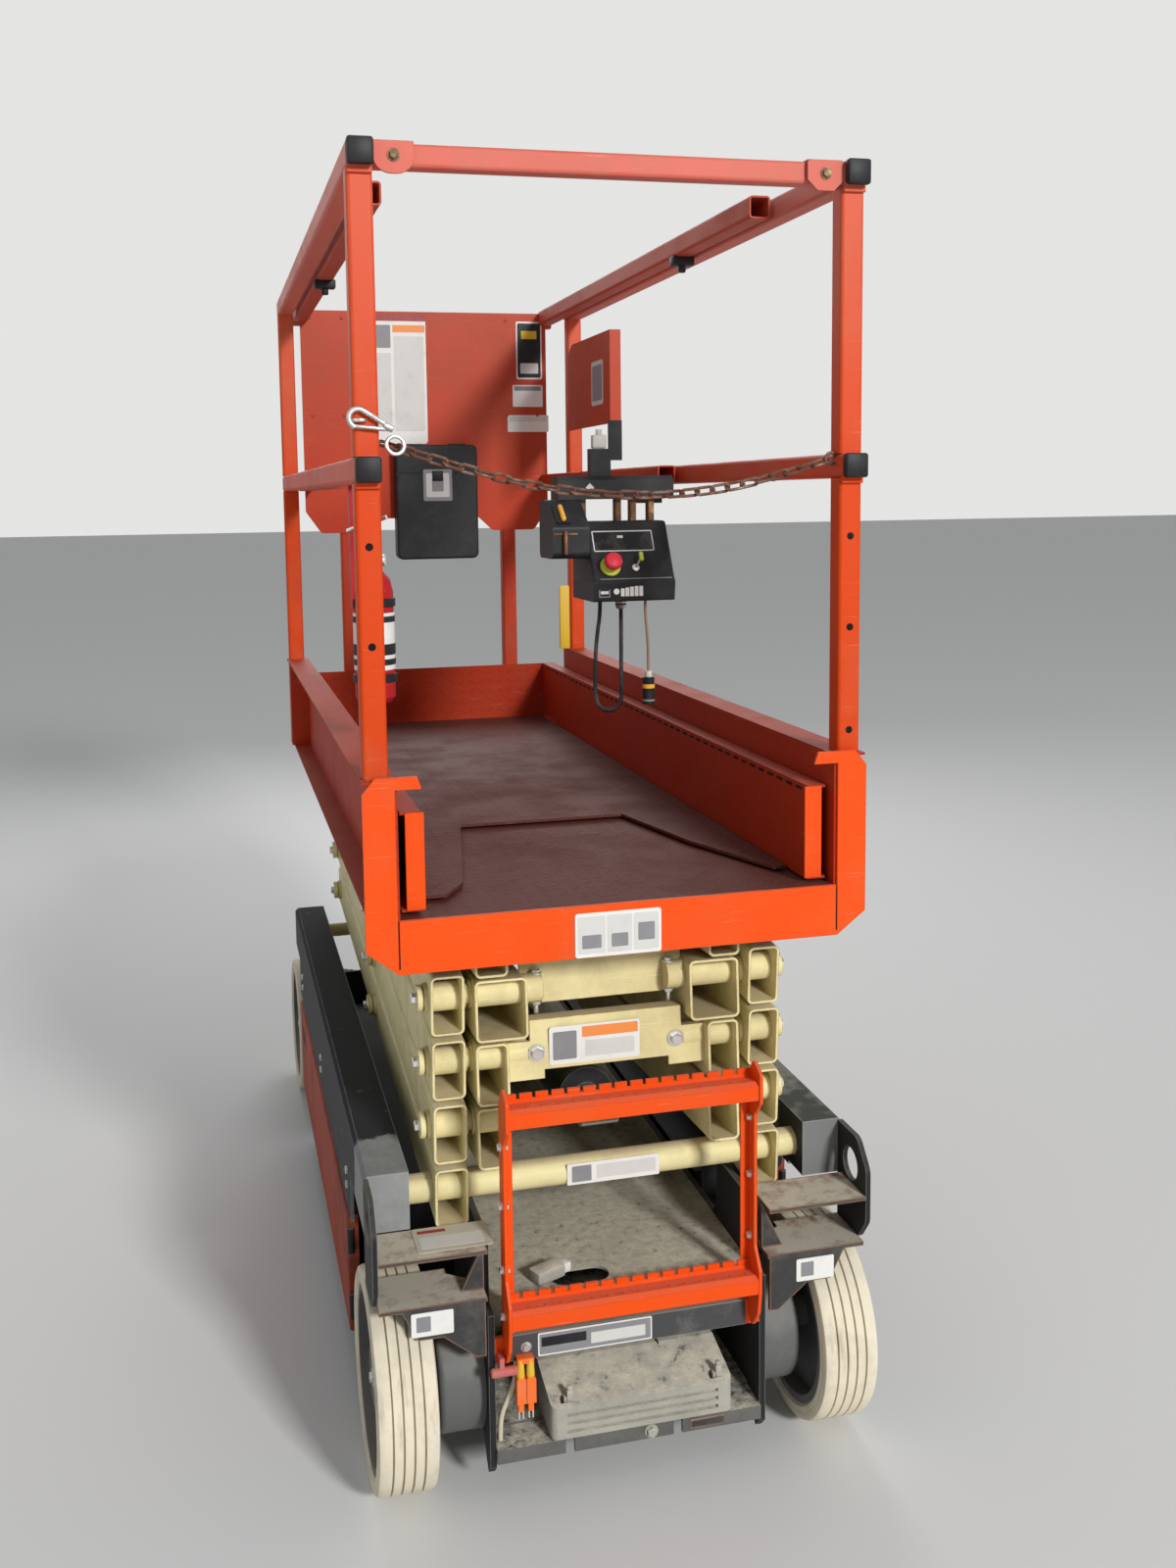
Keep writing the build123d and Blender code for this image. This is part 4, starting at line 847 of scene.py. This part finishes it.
def makeBarLugs():
    rails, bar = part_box("side_rails"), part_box("entry_bar")
    near, top = bar[0].y - 0.004, rails[1].z - 0.001
    front = near - railTrim["lugWall"]
    lugs, bolts = [], []
    for side, corner, steps in ((-1, 0.024, 6), (1, 0.015, 1)):    # a round foot on the left, a cut one right
        inner = side * (rails[1].x - railTrim["tube"])
        outer = inner - side * railTrim["lugWide"]
        lug = box((inner, front, bar[0].z - 0.01), (outer, near, top))
        roundEdges(lug, lambda e: abs(run(e).y) > 0.003 and e.verts[0].co.z < bar[0].z, corner, steps)
        roundEdges(lug, lambda e: abs(run(e).y) > 0.003 and e.verts[0].co.z > top - 0.002, 0.005, 3)
        lugs += [lug, box((inner, near - 0.001, top - 0.003), (outer, bar[1].y, top + 0.0008), 0.001, 1)]
        bolts.append((((inner + outer) / 2, front, (bar[0].z + bar[1].z) / 2 - 0.002), (0, -1, 0)))
    fit("entryBarLugs", "platform", {"aged": lugs})
    boltRow("entryBarBolts", "platform", railTrim["bolt"], bolts, "brass")


def makeLockPin():
    x, z = railTrim["lockPin"]
    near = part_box("rail_posts")[0].y + railTrim["tube"] + 0.006
    bend = ((x + 0.044, near - 0.008, z + 0.015), (0, 0, 1), -40)
    wire = bentRod(0.003, (x, near, z), (1, 0, 0.38), [0.045, bend, 0.01])
    fit("postLockPin", "platform", {"zinc": wire}, 60)


extensionTrim = {"boardEnd": (0.2905, 0.318), "hooks": ((1, -0.25, 1.93), (-1, 0.14, 1.93)),
                 "dash": (0.02, 0.038), "strip": (0.028, 0.162), "stripFoot": 1.105, "rivet": 0.0035,
                 "rivetsAt": (-0.29, -0.21, 0.21, 0.29), "rivetDrops": (0.018, 0.26)}


def makeBoardTrim():
    low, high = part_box("extension_toe_boards")
    inner, outer = extensionTrim["boardEnd"]
    ends = [box((side * inner, low.y - 0.0025, low.z + 0.002),
                (side * outer, low.y - 0.0002, high.z - 0.001), 0.0008, 1) for side in (-1, 1)]
    fit("boardEnds", "extension", {"orange": ends})
    long, pitch = extensionTrim["dash"]
    web = high.x - 0.03                               # inner face of the boards
    dashes = []
    # dark boxes: painted shade in the slots along the boards' top
    for index in range(int((high.y - low.y) / pitch) - 1):
        y = low.y + 0.02 + index * pitch
        dashes.append(box((web - 0.0012, y, high.z - 0.01), (web + 0.0005, y + long, high.z - 0.006)))
    fit("toeBoardSlots", "extension", {"hole": dashes})


def makeRailHooks():
    hooks = []
    for side, y, z in extensionTrim["hooks"]:
        x = side * (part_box("extension_rails")[1].x - 0.018)
        hooks.append(box((x - 0.021, y, z - 0.01), (x + 0.021, y + 0.026, z + 0.008), 0.003))
        hooks.append(rod(0.007, (x, y + 0.013, z - 0.022), (x, y + 0.013, z), 16, 0.002))
    fit("railHooks", "extension", {"plastic": hooks})


def makeYellowStrip():
    wide, high = extensionTrim["strip"]
    post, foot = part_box("rail_posts")[1], extensionTrim["stripFoot"]
    x = post.x - railTrim["tube"] - wide
    strip = box((x, post.y - 0.03, foot), (x + wide - 0.002, post.y - 0.022, foot + high), 0.002)
    fit("yellowStrip", "platform", {"yellow": strip})


def makePanelSheets():
    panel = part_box("end_panel")
    face, body = panel[0].y, "extension"
    sign("loadSheet", body, (-0.07, face, 1.797), 0.141, 0.326, (
        (0, 1, 0.945, 1, "maroon"), (0.4, 0.98, 0.86, 0.915, "orangeInk"),
        (0.04, 0.36, 0.74, 0.915, "greyInk"), (0.42, 0.96, 0.1, 0.83, "paleInk"),
        (0.04, 0.36, 0.1, 0.7, "paleInk")))
    sign("darkSheet", body, (0.27, face, 1.872), 0.068, 0.147, (
        (0.05, 0.95, 0.03, 0.97, "plastic"), (0.15, 0.85, 0.1, 0.28, "paleInk"),
        (0.2, 0.8, 0.7, 0.84, "yellow")))
    sign("smallSheet", body, (0.265, face, 1.756), 0.08, 0.056, ((0.06, 0.94, 0.74, 0.94, "greyInk"),))
    sign("lowSheet", body, (0.265, face, 1.685), 0.109, 0.043, ((0.04, 0.96, 0.62, 0.92, "paleInk"),))
    rivets = [((x, face, panel[1].z - drop), (0, -1, 0))
              for x in extensionTrim["rivetsAt"] for drop in extensionTrim["rivetDrops"]]
    boltRow("panelRivets", body, extensionTrim["rivet"], rivets, "red")


documentBox = {"label": (0.016, 1.528, 0.074, 0.08), "lidDrop": 0.074, "hinges": (-0.055, 0.055)}


def makeDocumentBox():
    low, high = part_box("document_box")
    x, z, wide, tall = documentBox["label"]
    sign("boxLabel", "extension", (x, low.y, z), wide, tall,
         ((0.1, 0.9, 0.12, 0.88, "paleInk"), (0.3, 0.7, 0.3, 0.7, "greyInk")), "greyInk")
    lid = high.z - documentBox["lidDrop"]
    parts = [box((x - 0.014, low.y - 0.004, lid - 0.018), (x + 0.014, low.y + 0.001, lid + 0.008), 0.002)]
    for hinge in [x + offset for offset in documentBox["hinges"]]:
        parts.append(box((hinge - 0.02, low.y + 0.01, high.z - 0.003),
                         (hinge + 0.02, high.y, high.z + 0.003), 0.002))
    fit("boxLatch", "extension", {"plastic": parts})


console = {"left": 0.12, "right": 0.277, "lip": (-0.3005, 1.336), "top": 1.4475, "back": -0.1445,
           "lean": 0.058, "screenLeft": 0.008, "screen": (0.8, 0.5, 0.84), "line": 0.0022,
           "dash": (0.36, 0.43, 0.72, 0.76), "button": (0.034, 0.031), "lever": (0.083, 0.028),
           "labels": 1.319, "podX": 0.0735, "hood": (0.14, -0.203, 1.511),
           "struts": (0.126, 0.196, 0.226, 0.262), "gland": (0.21, -0.167), "collar": (0.271, -0.149)}


def onSlope(x=0, y=0):
    lipY, lipZ = console["lip"]
    steepness = math.atan2(console["top"] - lipZ, console["lean"])
    foot = Matrix.Translation((console["left"], lipY, lipZ))
    return foot @ Matrix.Rotation(steepness, 4, "X") @ Matrix.Translation((x, y, 0.0001))


def makeConsoleHousing():
    (lipY, lipZ), top = console["lip"], console["top"]
    left, right = console["left"] - 0.0006, console["right"] + 0.0006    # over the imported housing's sides
    housing = box((left, lipY, lipZ - 0.001), (right, console["back"], top))
    selectWhere(housing, lambda v: v.co.y < lipY + 0.001 and v.co.z > top - 0.001, "VERT")
    bpy.ops.transform.translate(value=(0, console["lean"], 0))
    roundEdges(housing, lambda edge: edge.verts[0].co.z > lipZ or edge.verts[1].co.z > lipZ, 0.005, 3)
    fit("consoleHousing", "extension", {"plastic": housing})


def makeConsoleFace():
    wide = console["right"] - console["left"]
    long = math.hypot(console["top"] - console["lip"][1], console["lean"])
    west, line = console["screenLeft"], console["line"]
    east, south, north = wide * console["screen"][0], long * console["screen"][1], long * console["screen"][2]
    left, right, low, top = console["dash"]
    blocks = {
        "paleInk": [(west, south, east, south + line, 0.0009), (west, north - line, east, north, 0.0009),
                    (west, south, west + line, north, 0.0009), (east - line, south, east, north, 0.0009),
                    (wide * left, long * low, wide * right, long * top, 0.001)],
        "greyInk": [(0.012, 0.006, wide - 0.006, 0.0076, 0.0008)],
        "gloss": [(west + line, south + line, east - line, north - line, 0.0005)]}
    parts = {ink: [box((*row[:2], 0), row[2:]) for row in rows] for ink, rows in blocks.items()}
    fit("consoleFrame", "extension", parts, place=onSlope())


def makeConsoleControls():
    base = turned([(0.0175, 0), (0.0195, 0.003), (0.019, 0.007), (0.013, 0.009), (0.012, 0.012)], 40)
    stem = rod(0.0095, (0, 0, 0.01), (0, 0, 0.022))
    cap = turned([(0.01, 0.019), (0.015, 0.02), (0.017, 0.024), (0.0168, 0.03), (0.014, 0.0345),
                  (0.008, 0.037), (0.002, 0.0378)], 40)
    fit("stopButton", "extension", {"lime": base, "plastic": stem, "knob": cap},
        place=onSlope(*console["button"]))
    boss = turned([(0.007, 0), (0.007, 0.003), (0.005, 0.0045), (0.003, 0.005)], 32)
    neck = rod(0.0022, (0, 0, 0.005), (0.006, 0.01, 0.018), 10)
    grip = box((0.004, 0.006, 0.016), (0.012, 0.024, 0.023), 0.0025, 3)
    fit("keyLever", "extension", {"steel": [boss, neck], "lime": grip}, place=onSlope(*console["lever"]))


def makeConsoleLabels():
    left, y, z = console["left"], console["lip"][0] + 0.0035, console["labels"]
    sign("consoleBadge", "extension", (left + 0.02, y, z), 0.021, 0.021,
         ((0.08, 0.92, 0.08, 0.92, "plastic"), (0.14, 0.86, 0.3, 0.55, "paleInk")), "greyInk")
    cells = [(0.02 + 0.196 * i, 0.18 + 0.196 * i, 0.08, 0.92, "white") for i in range(5)]
    sign("consoleCells", "extension", (left + 0.073, y, z), 0.045, 0.022, cells, "plastic")
    spot = (left + 0.043, y, z)
    fit("consoleSpot", "extension", {"white": rod(0.0055, spot, shifted(spot, y=-0.0015), 20)})


def makePodAndHood():
    x = console["podX"]
    rocker = box((-0.0045, -0.022, 0), (0.0045, 0.022, 0.01), 0.004, 4)
    plate = box((-0.014, -0.026, -0.001), (0.014, 0.026, 0.0018), 0.004, 3, "z")
    fit("rockerSwitch", "extension", {"amber": rocker, "plastic": plate},
        place=facing((x, -0.2435, 1.461), (0, -0.602, 0.798)))
    trigger = [box((x - 0.004, -0.282, 1.388), (x + 0.002, -0.269, 1.432), 0.002),
               box((x - 0.022, -0.272, 1.424), (x + 0.024, -0.2695, 1.428), 0.0008, 1)]
    fit("triggerLever", "extension", {"browned": trigger})
    mark = box((-0.006, -0.006, 0), (0.006, 0.006, 0.0012))
    fit("hoodMark", "extension", {"paleInk": mark},
        place=facing(console["hood"], (0, -1, 0)) @ Matrix.Rotation(math.radians(45), 4, "Z"))
    struts = [box((left - 0.0008, -0.1862, 1.442), (left + 0.0108, -0.1662, 1.492), 0.001, 1)
              for left in console["struts"]]
    fit("hoodStruts", "extension", {"browned": struts})
    plug = [box((0.156, -0.171, 1.586), (0.184, -0.153, 1.612), 0.003, 2),
            rod(0.006, (0.17, -0.162, 1.61), (0.17, -0.162, 1.622), 16)]
    fit("clearPlug", "extension", {"milky": plug})


def makeCableEnds():
    x, y = console["gland"]
    nut = turned([(0.012, 0), (0.0135, 0.002), (0.0135, 0.008), (0.012, 0.01)], 6, foot=(x, y, 1.2905))
    cone = turned([(0.0075, 0), (0.01, 0.003), (0.0115, 0.014)], 24, foot=(x, y, 1.2765))
    fit("cableGland", "extension", {"steel": [nut, cone]})
    x, y = console["collar"]
    fit("sensorCollar", "extension", {
        "amber": rod(0.0124, (x, y, 1.116), (x, y, 1.124)),
        "milky": rod(0.007, (x, y, 1.136), (x, y, 1.15), 20, 0.002),
        "greyInk": rod(0.0124, (x, y, 1.09), (x, y, 1.094))})


bottle = {"foot": (-0.318, -0.56, 1.173), "radius": 0.032, "clamps": (0.032, 0.152),
          "bands": ((0.06, 0.07), (0.076, 0.094), (0.128, 0.138))}


def hoop(inner, outer, low, high, slope):
    stations = [(inner, low), (outer, low + slope), (outer, high - slope), (inner, high), (inner, low)]
    return turned(stations, 48, True, bottle["foot"])


def makeExtinguisher():
    foot, radius = Vector(bottle["foot"]), bottle["radius"]
    skin, proud, under = radius + 0.0002, radius + 0.001, radius - 0.001
    label = turned([(skin, 0.052), (proud, 0.053), (proud, 0.142), (skin, 0.143), (under, 0.1431),
                    (under, 0.0519), (skin, 0.052)], 48, True, foot)
    bands = [hoop(radius + 0.0008, radius + 0.0016, low, high, 0.0004) for low, high in bottle["bands"]]
    bands += [hoop(radius + 0.0005, radius + 0.003, low, low + 0.014, 0.001) for low in bottle["clamps"]]
    buckles = [box(shifted(foot, -0.006, -radius - 0.01, low),
                   shifted(foot, 0.006, -radius - 0.001, low + 0.014), 0.002) for low in bottle["clamps"]]
    gauge = rod(0.009, shifted(foot, 0.01, -0.01, 0.226), shifted(foot, 0.019, -0.013, 0.226), 24, 0.001)
    dial = rod(0.0075, shifted(foot, 0.0185, -0.0128, 0.226), shifted(foot, 0.0195, -0.0131, 0.226))
    bend = (shifted(foot, 0, 0.022, 0.204), (1, 0, 0), -90)
    hose = bentRod(0.005, shifted(foot, 0, 0.012, 0.222), (0, 1, 0), [0.01, bend, 0.09], 14)
    pull = ring(0.009, 0.0012, shifted(foot, -0.012, -0.012, 0.24), (1, 0.3, 0))
    fit("extinguisherFittings", "platform", {"white": [label, dial], "plastic": bands + [hose],
                                             "zinc": buckles + [gauge, pull]})


def makePlatformSigns():
    face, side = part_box("end_plates")[0].y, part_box("side_panel")[0].x
    sign("fasciaPlacard", "platform", (-0.012, face, 0.861), 0.131, 0.066, (
        (0.03, 0.35, 0.08, 0.92, "paleInk"), (0.37, 0.66, 0.08, 0.92, "paleInk"),
        (0.68, 0.97, 0.08, 0.92, "paleInk"), (0.08, 0.3, 0.2, 0.5, "greyInk"),
        (0.42, 0.61, 0.2, 0.5, "greyInk"), (0.73, 0.92, 0.3, 0.7, "greyInk")))
    sign("sidePanelSheet", "platform", (side, 0.445, 1.758), 0.098, 0.102,
         ((0.08, 0.92, 0.1, 0.9, "greyInk"),), "paleInk", (-1, 0, 0))
    # thin near-black strips: painted shade along the folds where the corner plates meet the fascia
    foldShades = [box((x - 0.001, face - 0.0006, 0.835), (x + 0.001, face + 0.001, 0.905))
             for x in (-0.333, 0.333)]
    fit("plateFoldShade", "platform", {"hole": foldShades})


def makeLowerSigns():
    sign("channelSticker", "inner_arms_2", (-0.02, -0.7761, 0.656), 0.145, 0.06, (
        (0.36, 0.98, 0.66, 0.94, "orangeInk"), (0.04, 0.3, 0.12, 0.86, "greyInk"),
        (0.4, 0.94, 0.14, 0.56, "paleInk")))
    sign("tubeSticker", "outer_arms_1", (0.008, -0.7771, 0.446), 0.15, 0.034, (
        (0.05, 0.26, 0.12, 0.88, "greyInk"), (0.32, 0.96, 0.2, 0.84, "paleInk")))
    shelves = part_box("pocket_shelves")
    for name, x, z in (("leftApronSticker", -0.301, 0.3085), ("rightApronSticker", 0.296, 0.3045)):
        place = (x, shelves[0].y + 0.0055, z)
        sign(name, "chassis", place, 0.062, 0.036, ((0.12, 0.46, 0.2, 0.84, "greyInk"),))
    sign("shelfSticker", "chassis", (-0.262, -0.852, shelves[1].z), 0.112, 0.07,
         ((0.56, 0.94, 0.12, 0.24, "maroon"), (0.1, 0.94, 0.4, 0.86, "paleInk")), "oldPaper", (0, 0, 1))


stackBolts = {"pin": 0.0085, "tab": 0.01, "tabsAt": 0.112, "lock": 0.007, "locksAt": 0.107, "tail": 0.0038}


def makeStackBolts():
    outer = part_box("outer_arm_2")[1].x + 0.01         # outer face of the pins' caps
    for level in (1, 2, 3, 4):
        top = level == 4
        near, middle = pin("platform_pin" if top else "near_pin_%d" % level), pin("cross_%d" % level)
        places = [(near, outer - 0.005 if top else outer), (middle, outer)]
        if level > 1:
            places.append((2 * middle - near, outer))  # the far pin
        row = [((side * x, place.y, place.z), (side, 0, 0)) for place, x in places for side in (-1, 1)]
        boltRow("armBolts%d" % level, "inner_arms_%d" % level, stackBolts["pin"], row)
    z, x = pin("near_pin_2").z + 0.003, stackBolts["tabsAt"]
    row = [((side * x, -0.7755, z), (0, -1, 0)) for side in (-1, 1)]
    boltRow("tabBolts", "inner_arms_2", stackBolts["tab"], row)
    hub, x = pin("near_pin_3"), stackBolts["locksAt"]
    row = [((side * x, hub.y, hub.z + up * 0.0215), (0, 0, up)) for side in (-1, 1) for up in (-1, 1)]
    boltRow("hubLockBolts", "inner_arms_3", stackBolts["lock"], row)
    tails = [rod(stackBolts["tail"], (at, hub.y, hub.z - 0.023), (at, hub.y, hub.z - 0.042), 12, 0.001)
             for at in (-x, x)]
    fit("hubBoltTails", "inner_arms_3", {"zinc": tails})


ladderTrim = {"bolt": 0.0055, "boltHeights": (0.3, 0.372, 0.47, 0.56), "outer": 0.195, "inner": 0.19,
              "fold": (0.177, 0.1905), "stripBolt": 0.006}


def makeLadderTrim():
    bolts = []
    for side in (-1, 1):
        for z in ladderTrim["boltHeights"]:
            bolts.append(((side * ladderTrim["outer"], -0.893, z), (side, 0, 0)))
            bolts.append(((side * ladderTrim["inner"], -0.893, z), (-side, 0, 0)))
    boltRow("ladderBolts", "chassis", ladderTrim["bolt"], bolts)
    inner, outer = ladderTrim["fold"]                  # the side plates' inward folds
    folds = [box((side * inner, -0.8875, 0.268), (side * outer, -0.8845, 0.606), 0.001) for side in (-1, 1)]
    fit("ladderFolds", "chassis", {"orange": folds})


def makeTreadStrip():
    strip, z = -0.8876, 0.2445                         # the strip's near face and middle height
    sleeve = box((-0.1855, strip, z - 0.0199), (0.1855, -0.8794, z + 0.0199), 0.0005, 1)
    fit("stripSleeve", "chassis", {"grey": sleeve})
    sign("stripLabel", "chassis", (-0.0545, strip, z), 0.177, 0.036, (
        (0.012, 0.988, 0.06, 0.94, "greyInk"), (0.03, 0.42, 0.4, 0.8, "plastic"),
        (0.46, 0.94, 0.22, 0.7, "paleInk")))
    boltRow("stripBolts", "chassis", ladderTrim["stripBolt"], [((-0.161, strip, z), (0, -1, 0))], "steel")


chargerTrim = {"tabs": (-0.101, 0.135), "tabHeight": 0.152, "plugs": (-0.172, -0.157), "prongs": 0.003,
               "loosePlug": (-0.105, -0.806, 0.3), "loosePlugTurn": 24, "barBolt": 0.008}


def makeChargerTabs():
    y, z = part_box("charger_box")[0].y, chargerTrim["tabHeight"]
    tabs = []
    for x in chargerTrim["tabs"]:
        foot = Vector((x + 0.006, y + 0.015, z))
        tabs.append(box(shifted(foot, -0.005, -0.005, -0.012), shifted(foot, 0.005, 0.005, 0.012), 0.002))
        tabs.append(rod(0.0045, shifted(foot, z=0.01), shifted(foot, z=0.018), 12, 0.001))
    fit("chargerTabs", "chassis", {"case": tabs})


def makePlugs():
    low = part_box("charge_plugs")[0]
    prongs, sleeves = [], []
    for x in chargerTrim["plugs"]:
        for at in (x - chargerTrim["prongs"], x + chargerTrim["prongs"]):
            prongs.append(box((at - 0.0009, low.y + 0.006, low.z - 0.012),
                              (at + 0.0009, low.y + 0.012, low.z + 0.002), 0.0004, 1))
        sleeves.append(turned([(0.0056, 0), (0.0066, 0.002), (0.0058, 0.016), (0.0052, 0.0285)], 20,
                              foot=(x, -0.896, 0.2035)))
    fit("plugProngs", "chassis", {"milky": prongs})
    fit("plugSleeves", "chassis", {"yellow": sleeves})
    turn = Matrix.Rotation(math.radians(chargerTrim["loosePlugTurn"]), 4, "Z")
    fit("loosePlug", "chassis", {"case": box((-0.03, -0.014, 0), (0.022, 0.014, 0.02), 0.003),
                                 "white": box((0.018, -0.01, 0.002), (0.036, 0.01, 0.017), 0.002)},
        place=Matrix.Translation(chargerTrim["loosePlug"]) @ turn)


def makeBarPatch():
    fit("barPatch", "chassis", {
        "case": placed(bolt(chargerTrim["barBolt"]), facing((0.03, -0.895, 0.082), (0, -1, 0))),
        "shelf": box((0.092, -0.8962, 0.0745), (0.148, -0.8945, 0.0885), 0.001, 1)})


chassisTrim = {"bolt": 0.0075, "boltPlaces": (-0.55, -0.05, 0.45), "boltHeights": (0.365, 0.39),
               "pull": (0.383, 0.437, 0.258, 0.266), "pullDepth": 0.012,
               "hinge": 0.006, "hingeFeet": (0.135, 0.25)}


def makeChassisTrim():
    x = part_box("side_beams")[1].x - 0.0035
    bolts = [((side * x, y, z), (side, 0, 0))
             for side in (-1, 1) for y in chassisTrim["boltPlaces"] for z in chassisTrim["boltHeights"]]
    boltRow("beamBolts", "chassis", chassisTrim["bolt"], bolts, "steel")
    near, far, foot, top = chassisTrim["pull"]
    for side, way in (("left", -1), ("right", 1)):
        low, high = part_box("tray_door_" + side)
        face = low.x if side == "left" else high.x
        pull = box((face, near, foot), (face - way * chassisTrim["pullDepth"], far, top), 0.002)
        fit("doorPull" + side.title(), "tray_door_" + side, {"plastic": pull})
        x, y = pin("tray_" + side).x - way * 0.004, low.y - 0.002
        pins = [rod(chassisTrim["hinge"], (x, y, z), (x, y, z + 0.045), 14, 0.001)
                for z in chassisTrim["hingeFeet"]]
        fit("doorHinge" + side.title(), "chassis", {"black": pins})


bpy.context.scene.view_settings.view_transform = "Standard"
addCamera()
addWorld()
for name, facts in lamps.items():
    addLamp(name, facts)
makeFloor()
makeFinishes()
dressNodes()
print("finishes on")
makeChain()
for name, facts in cables.items():
    makeCable(name, facts)
print("cords hung")
for side in ("left", "right"):
    for end in ("drive", "steer"):
        makeTyre(side, end, end + "_wheel_" + side)
makeAxleNuts()
print("wheels on")
makeRailCaps()
makeBarLugs()
makeLockPin()
makeBoardTrim()
makeRailHooks()
makeYellowStrip()
makePanelSheets()
makeDocumentBox()
makePlatformSigns()
makeExtinguisher()
print("platform trimmed")
makeConsoleHousing()
makeConsoleFace()
makeConsoleControls()
makeConsoleLabels()
makePodAndHood()
makeCableEnds()
print("console trimmed")
makeStackBolts()
makeLowerSigns()
makeLadderTrim()
makeTreadStrip()
makeChargerTabs()
makePlugs()
makeBarPatch()
makeChassisTrim()
print("chassis trimmed")
